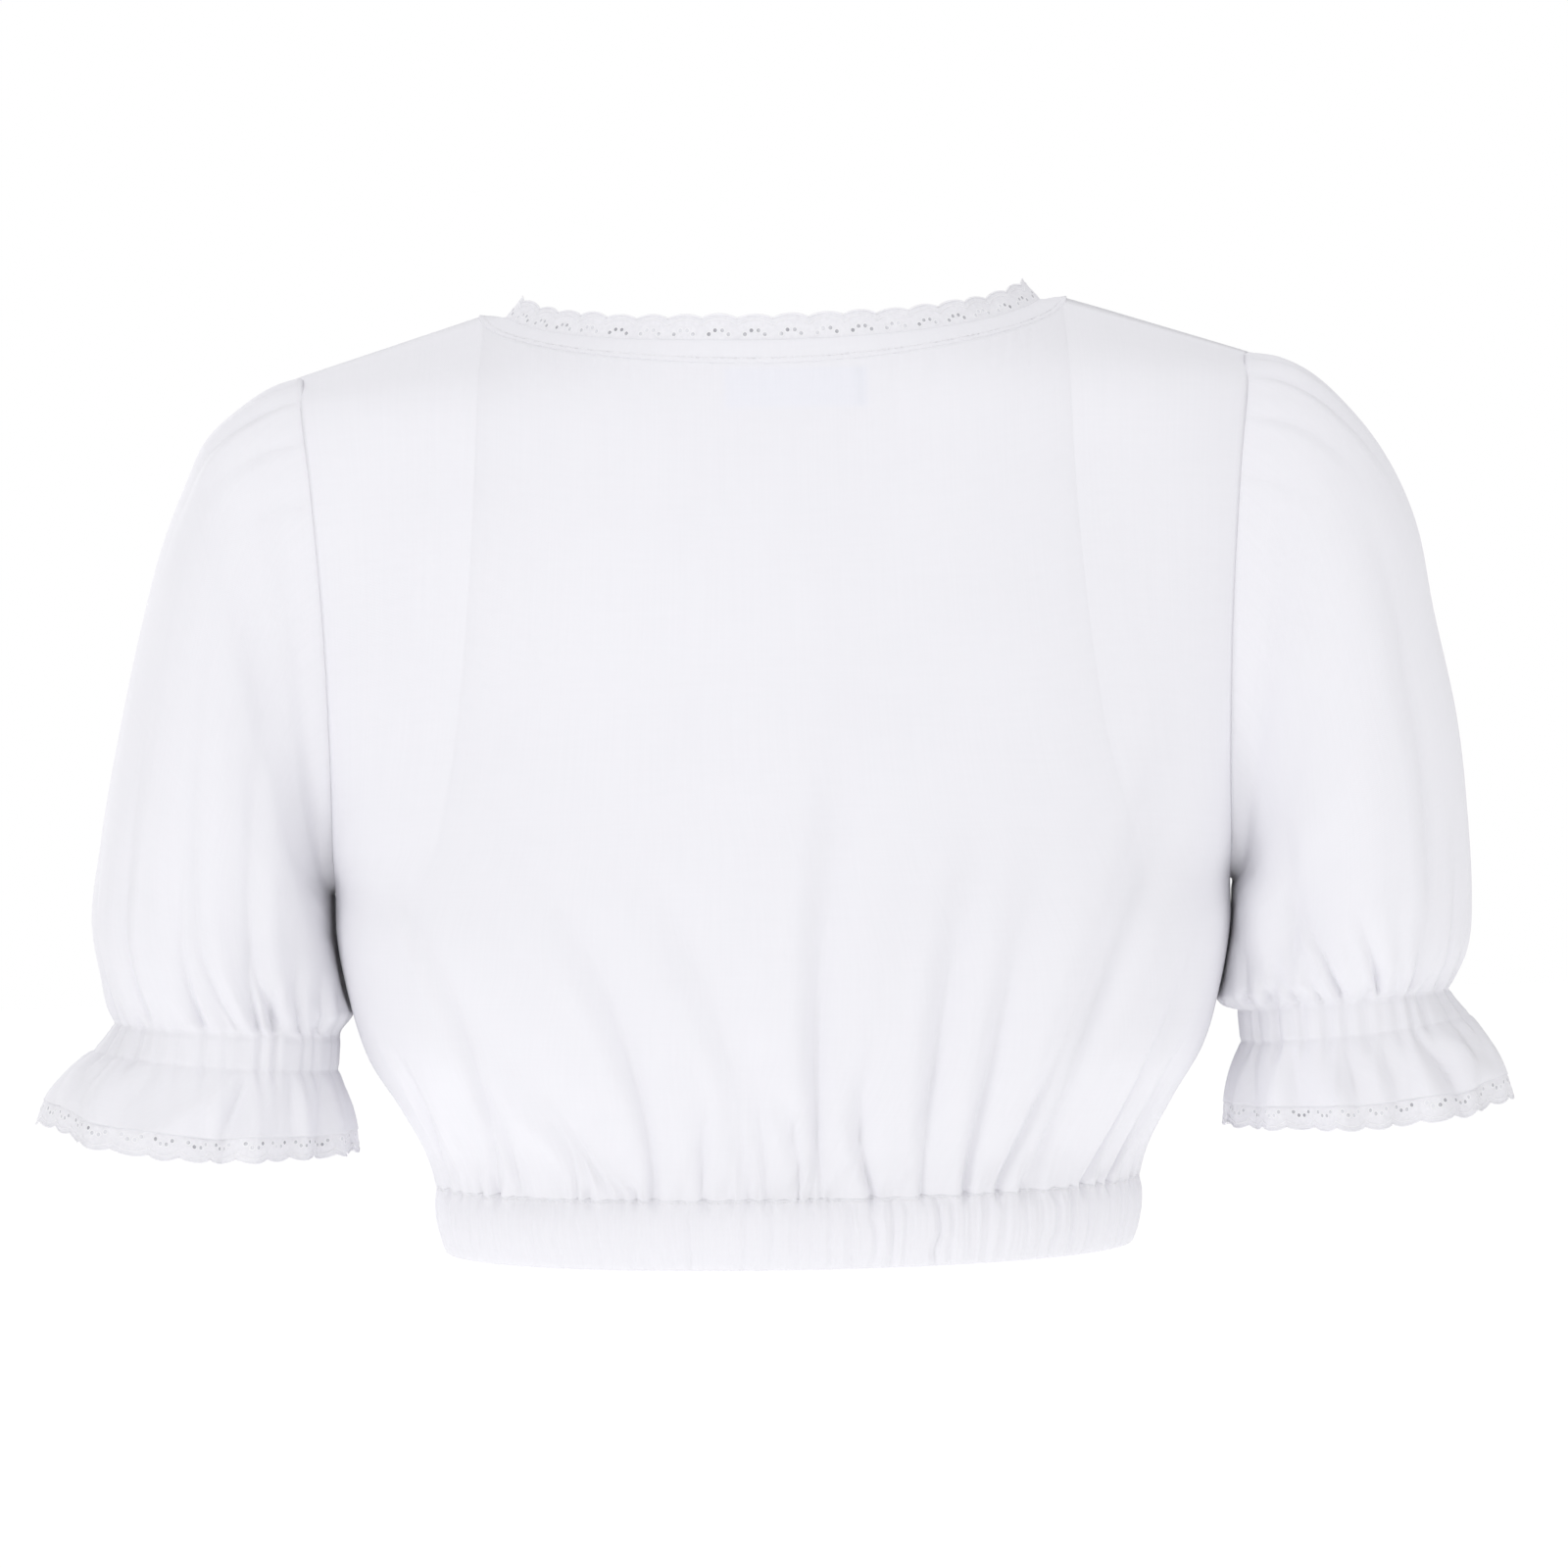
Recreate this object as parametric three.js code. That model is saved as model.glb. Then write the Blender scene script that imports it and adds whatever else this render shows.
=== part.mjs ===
// Dirndl blouse of white cotton, in its worn form with nobody in it: a cropped body gathered into an elastic
// hem casing, puffed elbow sleeves gathered into elastic channels with a ruffle below, and scalloped eyelet
// lace round the wide neck and on both ruffles.
// Millimetres, +Z up. The wearer faces -Y, and the wearer's left is +X. The origin lies midway between the
// neck ends of the two shoulder seams, where a pair of shoulders carries the blouse.
import * as THREE from "three";

// Cloth and seams
const CLOTH = 1.6; // wall of a cotton panel with its seam allowances
const CASING = 2.8; // folded hem with the elastic inside it
const LACE = 1.0; // embroidered lace
const SEAM_GAP = 0.3; // between two pieces that are sewn together
const BACK = 1; // sign of y on the back half
const FRONT = -1;

// Shoulders and neck
const NECK_HALF_WIDTH = 119; // outer edge of the binding at the shoulder seam
const NECK_POINT_Z = -4;
const SHOULDER_TIP = { x: 195, z: -28 };
const NECK_DROP = { [BACK]: 25, [FRONT]: 132 }; // scoop below the neck points
const NECK_ROUNDNESS = { [BACK]: 0.53, [FRONT]: 0.62 };
const BINDING_WIDTH = 9;
const BINDING_PROUD = 0.5; // the binding's layers stand this much above the panels
const LACE_WIDTH = 12;
const SCALLOP_NOTCH = 0.14; // share of the lace's width
const POINTS_PER_SCALLOP = 3;
const NECK_LACE_RISE = 0.9; // how much the lace leans up from the way the cloth runs

// Armhole, an upright oval seen from the side
const UNDERARM = { x: 183.5, z: -240 };
const ARMHOLE_DEPTH = { [BACK]: 50, [FRONT]: 46 };
const ARMHOLE_INSET = { [BACK]: 6, [FRONT]: 12 }; // how far the panel is hollowed out towards its middle

// Hem casing
const CASING_DEPTH = 28;
const HEM_DIP = 3; // the hem hangs this much lower at the centre than at the sides
const HEM_GATHERS = 80;
const HEM_GATHER_RELIEF = 1.3;
const HEM_TAPER = 3.6; // the casing draws in this much towards its lower edge
const HEM_ROUNDNESS = 1.6; // how much more the gathers at the front and back face straight out
const POINTS_PER_GATHER = 3;
const CASING_RINGS = [
  { name: "seam", down: 0, drawn: 0.2, relief: 0.6 },
  { name: "over the elastic", down: 0.3, drawn: -0.4, relief: 1 },
  { name: "lower edge", down: 1, drawn: HEM_TAPER, relief: 0.8 },
];

// The wearer's right shoulder is carried a little higher, from the neck out and from the chest up.
const SHOULDER_LIFT = { height: 3.8, outTo: 140, fromZ: -250, toZ: -50 };

// Sleeve ends: the middle of each channel's top edge, its radius, and how far the ruffle turns out away from
// the body, in degrees
const CUFFS = {
  left: { x: 229, z: -295, radius: 46.2, turn: 62 },
  right: { x: 229, z: -290, radius: 43.4, turn: 45 },
};
const CUFF_TILT = THREE.MathUtils.degToRad(4.5); // the forearm end swings outwards
const CUFF_CHANNEL = 14.5;
// Away from the body the channel leans out with the ruffle: how far out, how late, and the share it falls less
const CHANNEL_LEAN = { out: 8, power: 1.3, less: 0.16 };
const CUFF_GATHERS = 26;
const CUFF_GATHER_RELIEF = 1.4;
const CUFF_GATHER_FADE = 11; // the gathers die out this far down the ruffle
const RUFFLE_LENGTH = 29;
const RUFFLE_WAVES = 7;
const RUFFLE_WAVE = 3.6; // height of a wave at the ruffle's edge
const RUFFLE_UNEVEN = 0.35; // share by which the waves differ round the cuff
const RUFFLE_PHASE = { waves: 0.9, uneven: 0.6 }; // where they start, as angles
const RUFFLE_CALM = 0.5; // share of a wave that the ruffle loses beside the body
const RUFFLE_RINGS = [0.25, 0.55, 1]; // shares of its length
const CUFF_SCALLOPS = 28;
// How far the ruffle turns out from the channel, in degrees: behind and in front, and beside the body, where
// it has less room and is pressed shorter.
const RUFFLE_TURN = { middle: 22, inner: 30 };
const RUFFLE_PRESSED = 5;

// Points in the grids of the panels and sleeves
const SHOULDER_COLUMNS = 5;
const NECK_COLUMNS = { [BACK]: 20, [FRONT]: 25 }; // one for each scallop of the lace
const PANEL_ROWS = 18;
const SLEEVE_COLUMNS = CUFF_GATHERS * 1.5; // the gathered end has twice as many
const SLEEVE_ROWS = 12;
const SLEEVE_END = 0.985; // share of the sleeve's length where the last row stands, just above the channel
const SCOOP_FOLLOW = { scoop: 5, rise: 2 }; // powers: how late a panel's rows turn to follow the neck
const FAN_FROM = 0.15; // share of a panel's height where its columns start to fan out to the neck

// Body sections from the hem seam up: the side's half width up to the underarm, how far the centre back and
// centre front stand from the side, and at what height. The top section is only a guide. square rounds the
// section's corners, and turn says how steeply it meets the side.
const UNDERARM_SECTION = 6;
const BODY_SECTIONS = [
  { name: "hem seam", side: 144, z: -359.7, back: 94, front: 114, square: 2.1, turn: 2.1 },
  { name: "blouse foot", side: 148, z: -347.5, back: 98, front: 120, square: 2.2, turn: 2.2 },
  { name: "blouse low", side: 158.5, z: -328.5, back: 103, front: 127, square: 2.3, turn: 2.3 },
  { name: "blouse full", side: 171, z: -307.5, back: 106.5, front: 132, square: 2.4, turn: 2.4 },
  { name: "waist", side: 179, z: -280.5, back: 108.5, front: 136, square: 2.4, turn: 2.4 },
  { name: "rib", side: 183, z: -258, back: 109, front: 138, square: 2.4, turn: 2.35 },
  { name: "underarm", back: 108.5, front: 138.5, backZ: -236, frontZ: -236, square: 2.4, turn: 2.2 },
  { name: "low armhole", back: 107, front: 137, backZ: -210, frontZ: -212, square: 2.4, turn: 1.7 },
  { name: "chest", back: 103.5, front: 132, backZ: -170, frontZ: -174, square: 2.3, turn: 1.3 },
  { name: "mid armhole", back: 96, front: 118, backZ: -122, frontZ: -126, square: 2.3, turn: 1.15 },
  { name: "high armhole", back: 84.5, front: 98, backZ: -74, frontZ: -80, square: 2.2, turn: 1.1 },
  { name: "shoulder slope", back: 72, front: 76, backZ: -36, frontZ: -42, square: 2.2, turn: 1.1 },
  { name: "shoulder seam", back: 58, front: 55, backZ: -6, frontZ: -14, square: 2.2, turn: 1.3 },
];
const LEVEL_BOW = 1.6; // power: how a section's height runs from its centre to its side

// Soft folds that rise from the hem seam. foot and head are places across the panel, from -1 at the wearer's
// right side to 1 at the left. headZ is where a fold fades out, and depth and spread are its size at the
// foot. A fold leans over more and more on its way, widens, and deepens before it fades.
const FOLD_LEAN = 1.4;
const FOLD_STRENGTH = { foot: 0.8, swell: 2.8, fade: 1.3 };
const BODY_FOLDS = {
  [BACK]: [
    { foot: 0.93, head: 0.985, headZ: -262, depth: 2.2, spread: 9 },
    { foot: 0.8, head: 0.93, headZ: -240, depth: 2.0, spread: 11 },
    { foot: 0.64, head: 0.86, headZ: -236, depth: 2.6, spread: 12 },
    { foot: 0.47, head: 0.7, headZ: -250, depth: 2.2, spread: 11 },
    { foot: 0.34, head: 0.58, headZ: -220, depth: 4.0, spread: 11 },
    { foot: 0.2, head: 0.36, headZ: -225, depth: 2.6, spread: 11 },
    { foot: 0.04, head: 0.08, headZ: -275, depth: 1.8, spread: 11 },
    { foot: -0.13, head: -0.18, headZ: -160, depth: 4.0, spread: 12 },
    { foot: -0.29, head: -0.4, headZ: -205, depth: 3.0, spread: 11 },
    { foot: -0.43, head: -0.58, headZ: -218, depth: 3.4, spread: 11 },
    { foot: -0.58, head: -0.74, headZ: -225, depth: 3.0, spread: 9 },
    { foot: -0.7, head: -0.9, headZ: -175, depth: 3.8, spread: 11 },
    { foot: -0.82, head: -0.96, headZ: -240, depth: 3.2, spread: 9 },
    { foot: -0.93, head: -0.99, headZ: -265, depth: 2.2, spread: 8 },
  ],
  [FRONT]: [
    { foot: 0.92, head: 0.98, headZ: -268, depth: 2.2, spread: 9 },
    { foot: 0.78, head: 0.9, headZ: -240, depth: 2.8, spread: 11 },
    { foot: 0.63, head: 0.76, headZ: -222, depth: 3.4, spread: 11 },
    { foot: 0.49, head: 0.56, headZ: -252, depth: 2.4, spread: 11 },
    { foot: 0.35, head: 0.42, headZ: -215, depth: 3.6, spread: 12 },
    { foot: 0.2, head: 0.24, headZ: -262, depth: 2.4, spread: 11 },
    { foot: 0.05, head: 0.06, headZ: -205, depth: 3.2, spread: 12 },
    { foot: -0.1, head: -0.13, headZ: -250, depth: 2.6, spread: 11 },
    { foot: -0.25, head: -0.31, headZ: -212, depth: 3.6, spread: 12 },
    { foot: -0.41, head: -0.48, headZ: -256, depth: 2.4, spread: 11 },
    { foot: -0.56, head: -0.66, headZ: -226, depth: 3.2, spread: 11 },
    { foot: -0.7, head: -0.82, headZ: -236, depth: 3.0, spread: 11 },
    { foot: -0.83, head: -0.93, headZ: -250, depth: 2.6, spread: 9 },
    { foot: -0.94, head: -0.985, headZ: -270, depth: 2.0, spread: 8 },
  ],
};

// Sleeve sections after the armhole seam: the line over the outside of the arm, the line under the arm, and
// how far the sleeve stands out behind and in front. The right sleeve is puffed a little fuller.
const SLEEVE_SECTIONS = [
  { name: "sleeve head", leftX: 204, rightX: 208, topZ: -31, underX: 185.6, underZ: -242.5, half: 51 },
  { name: "head puff", leftX: 216.5, rightX: 222, topZ: -38, underX: 186.4, underZ: -246, half: 54 },
  { name: "cap", leftX: 232.5, rightX: 236.5, topZ: -52, underX: 187, underZ: -250, half: 58 },
  { name: "cap side", leftX: 242, rightX: 250.5, topZ: -72, underX: 187.3, underZ: -254, half: 60.5 },
  { name: "upper arm", leftX: 252, rightX: 261.5, topZ: -98, underX: 187.4, underZ: -258, half: 61.5 },
  { name: "puff", leftX: 261.8, rightX: 269, topZ: -134, underX: 187.2, underZ: -262.5, half: 61.5 },
  { name: "puff low", leftX: 271.8, rightX: 277.5, topZ: -176, underX: 186.8, underZ: -267.5, half: 60.5 },
  { name: "full", leftX: 280.4, rightX: 281.3, topZ: -217, underX: 186, underZ: -273.5, half: 58.5 },
  { name: "overhang", leftX: 284.8, rightX: 282, topZ: -248, underX: 185.3, underZ: -280, half: 56 },
  { name: "gather", leftX: 281.6, rightX: 279.4, topZ: -271, underX: 184.4, underZ: -288, half: 51.5 },
];

// Sleeve folds: around is an angle from the top of the arm, towards the back when positive. from and to are
// shares of the way from armhole to channel, and drift is how far a fold swings round on its way, in degrees.
const SLEEVE_FOLDS = [
  { around: 16, drift: 6, from: 0, to: 0.42, depth: 2.2, spread: 6 },
  { around: 33, drift: 10, from: 0, to: 0.6, depth: 2.6, spread: 7 },
  { around: 52, drift: 8, from: 0, to: 0.35, depth: 1.8, spread: 6 },
  { around: -14, drift: -6, from: 0, to: 0.4, depth: 2.0, spread: 6 },
  { around: -34, drift: -8, from: 0, to: 0.5, depth: 2.4, spread: 7 },
  { around: 112, drift: -14, from: 0.02, to: 0.62, depth: 5.5, spread: 15 },
  { around: -118, drift: 12, from: 0.02, to: 0.5, depth: 4.0, spread: 14 },
  { around: 62, drift: -10, from: 1, to: 0.55, depth: 2.6, spread: 7 },
  { around: 88, drift: 12, from: 1, to: 0.42, depth: 3.0, spread: 7 },
  { around: 118, drift: 10, from: 1, to: 0.62, depth: 2.6, spread: 6 },
  { around: 30, drift: -4, from: 1, to: 0.72, depth: 2.0, spread: 7 },
  { around: -48, drift: 8, from: 1, to: 0.6, depth: 2.6, spread: 8 },
  { around: -86, drift: -8, from: 1, to: 0.5, depth: 2.8, spread: 8 },
  { around: -122, drift: -6, from: 1, to: 0.66, depth: 2.4, spread: 7 },
];

// Blank woven label that shows through the back, inside and just below the binding
const LABEL = { x: -9, top: -31.5, width: 58, height: 16, thick: 0.6, inset: CLOTH + 2.5 * SEAM_GAP, steps: 6 };

const SHIRTING = new THREE.MeshStandardMaterial({ color: 0xf3f3f7, roughness: 0.85, metalness: 0 });
const EYELET = new THREE.MeshStandardMaterial({ color: 0xf5f5f8, roughness: 0.8, metalness: 0 });
const RIBBON = new THREE.MeshStandardMaterial({ color: 0xf7f8ff, roughness: 0.6, metalness: 0 });

const { clamp, degToRad, lerp, radToDeg, smoothstep } = THREE.MathUtils;
const TOP_SECTION = BODY_SECTIONS.length - 1;
const NECK_SHARE = NECK_HALF_WIDTH / SHOULDER_TIP.x; // where the neck point lies across the top section

// Meshes: a solid is a run of closed rings of points, each joined to the next.

// Joins two rings of points; the second may have as many points as the first, or twice or half as many. Where
// isInner(i) holds, each quad is split the other way, so that both faces of the cloth are split alike.
function joinRings(faces, a, b, isInner) {
  if (a.length > b.length) {
    const turned = [];
    joinRings(turned, b, a, isInner);
    turned.forEach(([p, q, r]) => faces.push([p, r, q]));
    return;
  }
  const step = b.length / a.length;
  a.forEach((p, i) => {
    const next = a[(i + 1) % a.length];
    const far = (k) => b[(i * step + k) % b.length];
    if (step === 2) faces.push([p, far(1), far(0)], [p, far(2), far(1)], [p, next, far(2)]);
    else if (isInner(i)) faces.push([p, next, far(0)], [next, far(1), far(0)]);
    else faces.push([p, far(1), far(0)], [p, next, far(1)]);
  });
}

// A mesh of rings of points. An open sheet has rings across its wall, outer points first, and strips that
// close the end rings. A tube has its outer rings first and its inner rings after them, back to the first.
function meshOfRings(name, rings, isOpenSheet, material) {
  const points = rings.flat().map(carried);
  let count = 0;
  const indices = rings.map((ring) => ring.map(() => count++));
  const faces = [];
  const half = (isOpenSheet ? rings[0] : rings).length / 2;
  for (let k = 0; k + 1 < rings.length; k++) {
    joinRings(faces, indices[k], indices[k + 1], (i) => (isOpenSheet ? i : k) >= half);
  }
  if (isOpenSheet) {
    for (const [ring, turn] of [[indices[0], 1], [indices.at(-1), -1]]) {
      for (let i = 0; i + 1 < half; i++) {
        const [p, q, r, s] = [ring[i], ring[i + 1], ring.at(-2 - i), ring.at(-1 - i)];
        faces.push(...(turn > 0 ? [[p, r, q], [p, s, r]] : [[p, q, r], [p, r, s]]));
      }
    }
  } else {
    joinRings(faces, indices.at(-1), indices[0], () => false);
  }
  if (volumeOf(points, faces) < 0) faces.forEach((face) => face.reverse());
  const geometry = new THREE.BufferGeometry().setFromPoints(points);
  geometry.setIndex(faces.flat());
  geometry.computeVertexNormals();
  const mesh = new THREE.Mesh(geometry, material);
  mesh.name = name;
  return mesh;
}

// Where a point goes as the shoulder is lifted.
function carried(point) {
  const { height, outTo, fromZ, toZ } = SHOULDER_LIFT;
  const lift = height * smoothstep(-point.x, 0, outTo) * smoothstep(point.z, fromZ, toZ);
  return new THREE.Vector3(point.x, point.y, point.z + lift);
}

function volumeOf(points, faces) {
  const cross = new THREE.Vector3();
  return faces.reduce((sum, [a, b, c]) => sum + points[a].dot(cross.crossVectors(points[b], points[c])), 0);
}

// Outward normals of a tube given as rings of points.
function tubeNormals(rings) {
  return rings.map((ring, k) => {
    const middle = ring.reduce((sum, point) => sum.add(point), new THREE.Vector3()).divideScalar(ring.length);
    const [above, below] = [rings[Math.max(k - 1, 0)], rings[Math.min(k + 1, rings.length - 1)]];
    return ring.map((point, i) => {
      const round = ring[(i + 1) % ring.length].clone().sub(ring[(i + ring.length - 1) % ring.length]);
      const normal = round.cross(below[i].clone().sub(above[i])).normalize();
      return normal.dot(point.clone().sub(middle)) < 0 ? normal.negate() : normal;
    });
  });
}

const moved = (point, direction, distance) => point.clone().addScaledVector(direction, distance);

// Body

// The seam of the armhole: angle 0 is the shoulder tip and 180 the underarm.
function armholePoint(angle, half) {
  const high = (1 + Math.cos(angle)) / 2;
  return new THREE.Vector3(
    lerp(UNDERARM.x, SHOULDER_TIP.x, high) - ARMHOLE_INSET[half] * Math.sin(angle) ** 2,
    half * ARMHOLE_DEPTH[half] * Math.sin(angle),
    lerp(UNDERARM.z, SHOULDER_TIP.z, high),
  );
}

// Where the panel ends at a section: the side seam below the underarm, the armhole seam above it.
function panelEdge(k, half) {
  if (k < UNDERARM_SECTION) return new THREE.Vector3(BODY_SECTIONS[k].side, 0, BODY_SECTIONS[k].z);
  return armholePoint((Math.PI * (TOP_SECTION - k)) / (TOP_SECTION - UNDERARM_SECTION), half);
}

// A point of one body section, with across from -1 to 1.
function sectionPoint(k, half, across) {
  const section = BODY_SECTIONS[k];
  const edge = panelEdge(k, half);
  const side = Math.abs(across);
  const centreY = half * (half === BACK ? section.back : section.front);
  const centreZ = section.z ?? (half === BACK ? section.backZ : section.frontZ);
  if (k === TOP_SECTION) {
    const inNeck = Math.max(0, 1 - (side / NECK_SHARE) ** 2);
    const onShoulder = clamp((side - NECK_SHARE) / (1 - NECK_SHARE), 0, 1);
    const z = lerp(lerp(NECK_POINT_Z, centreZ, inNeck), SHOULDER_TIP.z, onShoulder);
    return new THREE.Vector3(across * edge.x, centreY * inNeck ** section.turn, z);
  }
  const bow = (1 - side ** section.square) ** (1 / section.turn);
  const dip = k === 0 ? HEM_DIP * bow : 0;
  const z = lerp(centreZ, edge.z, side ** LEVEL_BOW) - dip;
  return new THREE.Vector3(across * edge.x, lerp(edge.y, centreY, bow), z);
}

// The plain form of a body half, up being the share of the way from the hem seam to the top section.
function bodyForm(half, across, up) {
  const column = BODY_SECTIONS.map((_, k) => sectionPoint(k, half, across));
  const point = new THREE.CatmullRomCurve3(column).getPoint(up);
  return point.setY(half * Math.max(half * point.y, 0));
}

// The way straight out of the plain form.
function bodyNormal(half, across, up) {
  const step = 0.01;
  const along = (a, b) => bodyForm(half, ...b).sub(bodyForm(half, ...a));
  const side = clamp(across, step - 1, 1 - step);
  const height = clamp(up, step, 1 - step);
  const sideways = along([side - step, height], [side + step, height]);
  const upward = along([side, height - step], [side, height + step]);
  return sideways.cross(upward).normalize().multiplyScalar(-half);
}

// The share of the way up a column at which the form reaches a height, found by halving.
function shareAtHeight(half, across, height) {
  let [low, high] = [0.4, 1];
  for (let turn = 0; turn < 24; turn++) {
    const middle = (low + high) / 2;
    if (bodyForm(half, across, middle).z < height) low = middle;
    else high = middle;
  }
  return low;
}

// How far up a column the panel reaches: to the shoulder seam, or to the scoop of the neck.
function columnTop(half, across) {
  const side = Math.abs(across) / NECK_SHARE;
  if (side >= 1) return 1;
  const scoop = NECK_DROP[half] * (1 - side ** 2) ** NECK_ROUNDNESS[half];
  return shareAtHeight(half, across, NECK_POINT_Z - scoop);
}

// Values from one end of a line to the other that mark equal lengths of it; pointAt(value) is the line.
function evenSteps(pointAt, from, to, count) {
  const fine = 400;
  const values = Array.from({ length: fine + 1 }, (_, i) => lerp(from, to, i / fine));
  const lengths = [0];
  const points = values.map(pointAt);
  points.slice(1).forEach((point, i) => lengths.push(lengths[i] + point.distanceTo(points[i])));
  return Array.from({ length: count + 1 }, (_, step) => {
    const target = (lengths[fine] * step) / count;
    const i = Math.min(lengths.findLastIndex((length) => length <= target), fine - 1);
    return lerp(values[i], values[i + 1], (target - lengths[i]) / (lengths[i + 1] - lengths[i]));
  });
}

// Places across the panel: at the top they mark the shoulder seams and the scallops of the neck, and at the
// hem they are even.
function columnPlaces(half) {
  const neckLine = (across) => bodyForm(half, across, columnTop(half, across));
  const inNeck = evenSteps(neckLine, -NECK_SHARE, NECK_SHARE, NECK_COLUMNS[half]);
  const seam = Array.from({ length: SHOULDER_COLUMNS }, (_, i) => lerp(1, NECK_SHARE, i / SHOULDER_COLUMNS));
  const tops = [...seam.map((place) => -place), ...inNeck, ...seam.reverse()];
  return tops.map((top, i) => ({ top, even: Math.sin(Math.PI * (i / (tops.length - 1) - 0.5)) }));
}

// How far the folds press a body point in.
function bodyFold(half, across, z) {
  const hemZ = BODY_SECTIONS[0].z;
  const { foot, swell, fade } = FOLD_STRENGTH;
  const inPanel = 1 - across ** 8; // no fold runs into the side seam
  return BODY_FOLDS[half].reduce((sum, fold) => {
    const risen = (z - hemZ) / (fold.headZ - hemZ);
    if (risen > 1) return sum;
    const way = Math.max(risen, 0);
    const centre = lerp(fold.foot, fold.head, way ** FOLD_LEAN);
    const off = ((across - centre) * UNDERARM.x) / (fold.spread * (1 + way));
    const strength = fold.depth * (foot + swell * way) * (1 - way) ** fade;
    return sum + strength * Math.exp(-off * off) * inPanel;
  }, 0);
}

// A list of values with each one drawn towards its neighbours, as often as asked.
function eased(values, times) {
  if (times === 0) return values;
  const near = (i) => values[clamp(i, 0, values.length - 1)];
  return eased(values.map((value, i) => (near(i - 1) + 2 * value + near(i + 1)) / 4), times - 1);
}

// Rows of a panel's points, its outward normals, and which columns lie on the neck.
function bodyPanel(half) {
  const places = columnPlaces(half);
  const tops = places.map((place) => columnTop(half, place.top));
  const level = eased(tops, 4); // lower rows run level, and only the last ones follow the scoop of the neck
  const cells = Array.from({ length: PANEL_ROWS + 1 }, (_, k) =>
    places.map((place, i) => {
      const share = k / PANEL_ROWS;
      const top = lerp(level[i], tops[i], share ** SCOOP_FOLLOW.scoop);
      const up = share * (1 - (1 - top) * share ** SCOOP_FOLLOW.rise);
      const across = lerp(place.even, place.top, smoothstep(share, FAN_FROM, 1));
      const normal = bodyNormal(half, across, up);
      const point = bodyForm(half, across, up);
      point.addScaledVector(normal, -bodyFold(half, across, point.z));
      point.y += (half * SEAM_GAP) / 2;
      return { point, normal };
    }),
  );
  const grid = cells.map((row) => row.map((cell) => cell.point));
  const normals = cells.map((row) => row.map((cell) => cell.normal));
  squareUpSeams(normals, grid);
  return { grid, normals };
}

// At the side and shoulder seams the wall's edge lies across the seam, so that two panels meet cleanly.
function squareUpSeams(normals, grid) {
  const last = normals[0].length - 1;
  const flatten = (normal) => normal.setY(0).normalize();
  normals.forEach((row, k) => {
    for (const i of [0, last]) {
      if (Math.abs(grid[k][i].y) < SEAM_GAP) flatten(row[i]);
    }
  });
  const top = normals.at(-1);
  for (let i = 0; i <= SHOULDER_COLUMNS; i++) [top[i], top[last - i]].forEach(flatten);
}

function panelSolid(name, panel) {
  const rings = panel.grid.map((row, k) => [
    ...row,
    ...row.map((point, i) => moved(point, panel.normals[k][i], -CLOTH)).reverse(),
  ]);
  return meshOfRings(name, rings, true, SHIRTING);
}

// Neck

// The neck's closed edge: points, normals, and the way the binding runs on from the panels.
function neckEdge(panels) {
  const edge = [BACK, FRONT].flatMap((half) => {
    const { grid, normals } = panels[half];
    const columns = grid[0].length - 1;
    const run = [];
    for (let i = SHOULDER_COLUMNS; i <= columns - SHOULDER_COLUMNS; i++) {
      run.push({ point: grid.at(-1)[i], normal: normals.at(-1)[i] });
    }
    return half === BACK ? run : run.reverse();
  });
  const seam = (i, j) => {
    const point = edge[i].point.clone().lerp(edge[j].point, 0.5);
    const normal = edge[i].normal.clone().add(edge[j].normal).normalize();
    return { point, normal };
  };
  const perHalf = NECK_COLUMNS[BACK] + 1;
  const loop = [
    seam(0, edge.length - 1),
    ...edge.slice(1, perHalf - 1),
    seam(perHalf - 1, perHalf),
    ...edge.slice(perHalf + 1, -1),
  ];
  const size = loop.length;
  return loop.map(({ point, normal }, i) => {
    const [before, after] = [loop[(i + size - 1) % size], loop[(i + 1) % size]];
    const soft = before.normal.clone().add(normal).add(after.normal).normalize();
    const along = after.point.clone().sub(before.point).normalize();
    const inward = along.cross(soft).normalize();
    if (inward.x * point.x + inward.y * point.y > 0) inward.negate();
    return { point, normal: soft, inward };
  });
}

function bindingSolid(edge) {
  const ring = (out, lift) => edge.map((e) => moved(moved(e.point, e.inward, out), e.normal, lift));
  const rings = [
    ring(SEAM_GAP, BINDING_PROUD),
    ring(SEAM_GAP + BINDING_WIDTH, BINDING_PROUD),
    ring(SEAM_GAP + BINDING_WIDTH, -CLOTH),
    ring(SEAM_GAP, -CLOTH),
  ];
  return meshOfRings("neck_binding", rings, false, SHIRTING);
}

// How far the scalloped edge reaches at a share of one scallop: least in the notches and 1 at the crown.
const scallop = (share) => 1 - SCALLOP_NOTCH * (1 - Math.sin(Math.PI * share)) ** 2;

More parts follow.
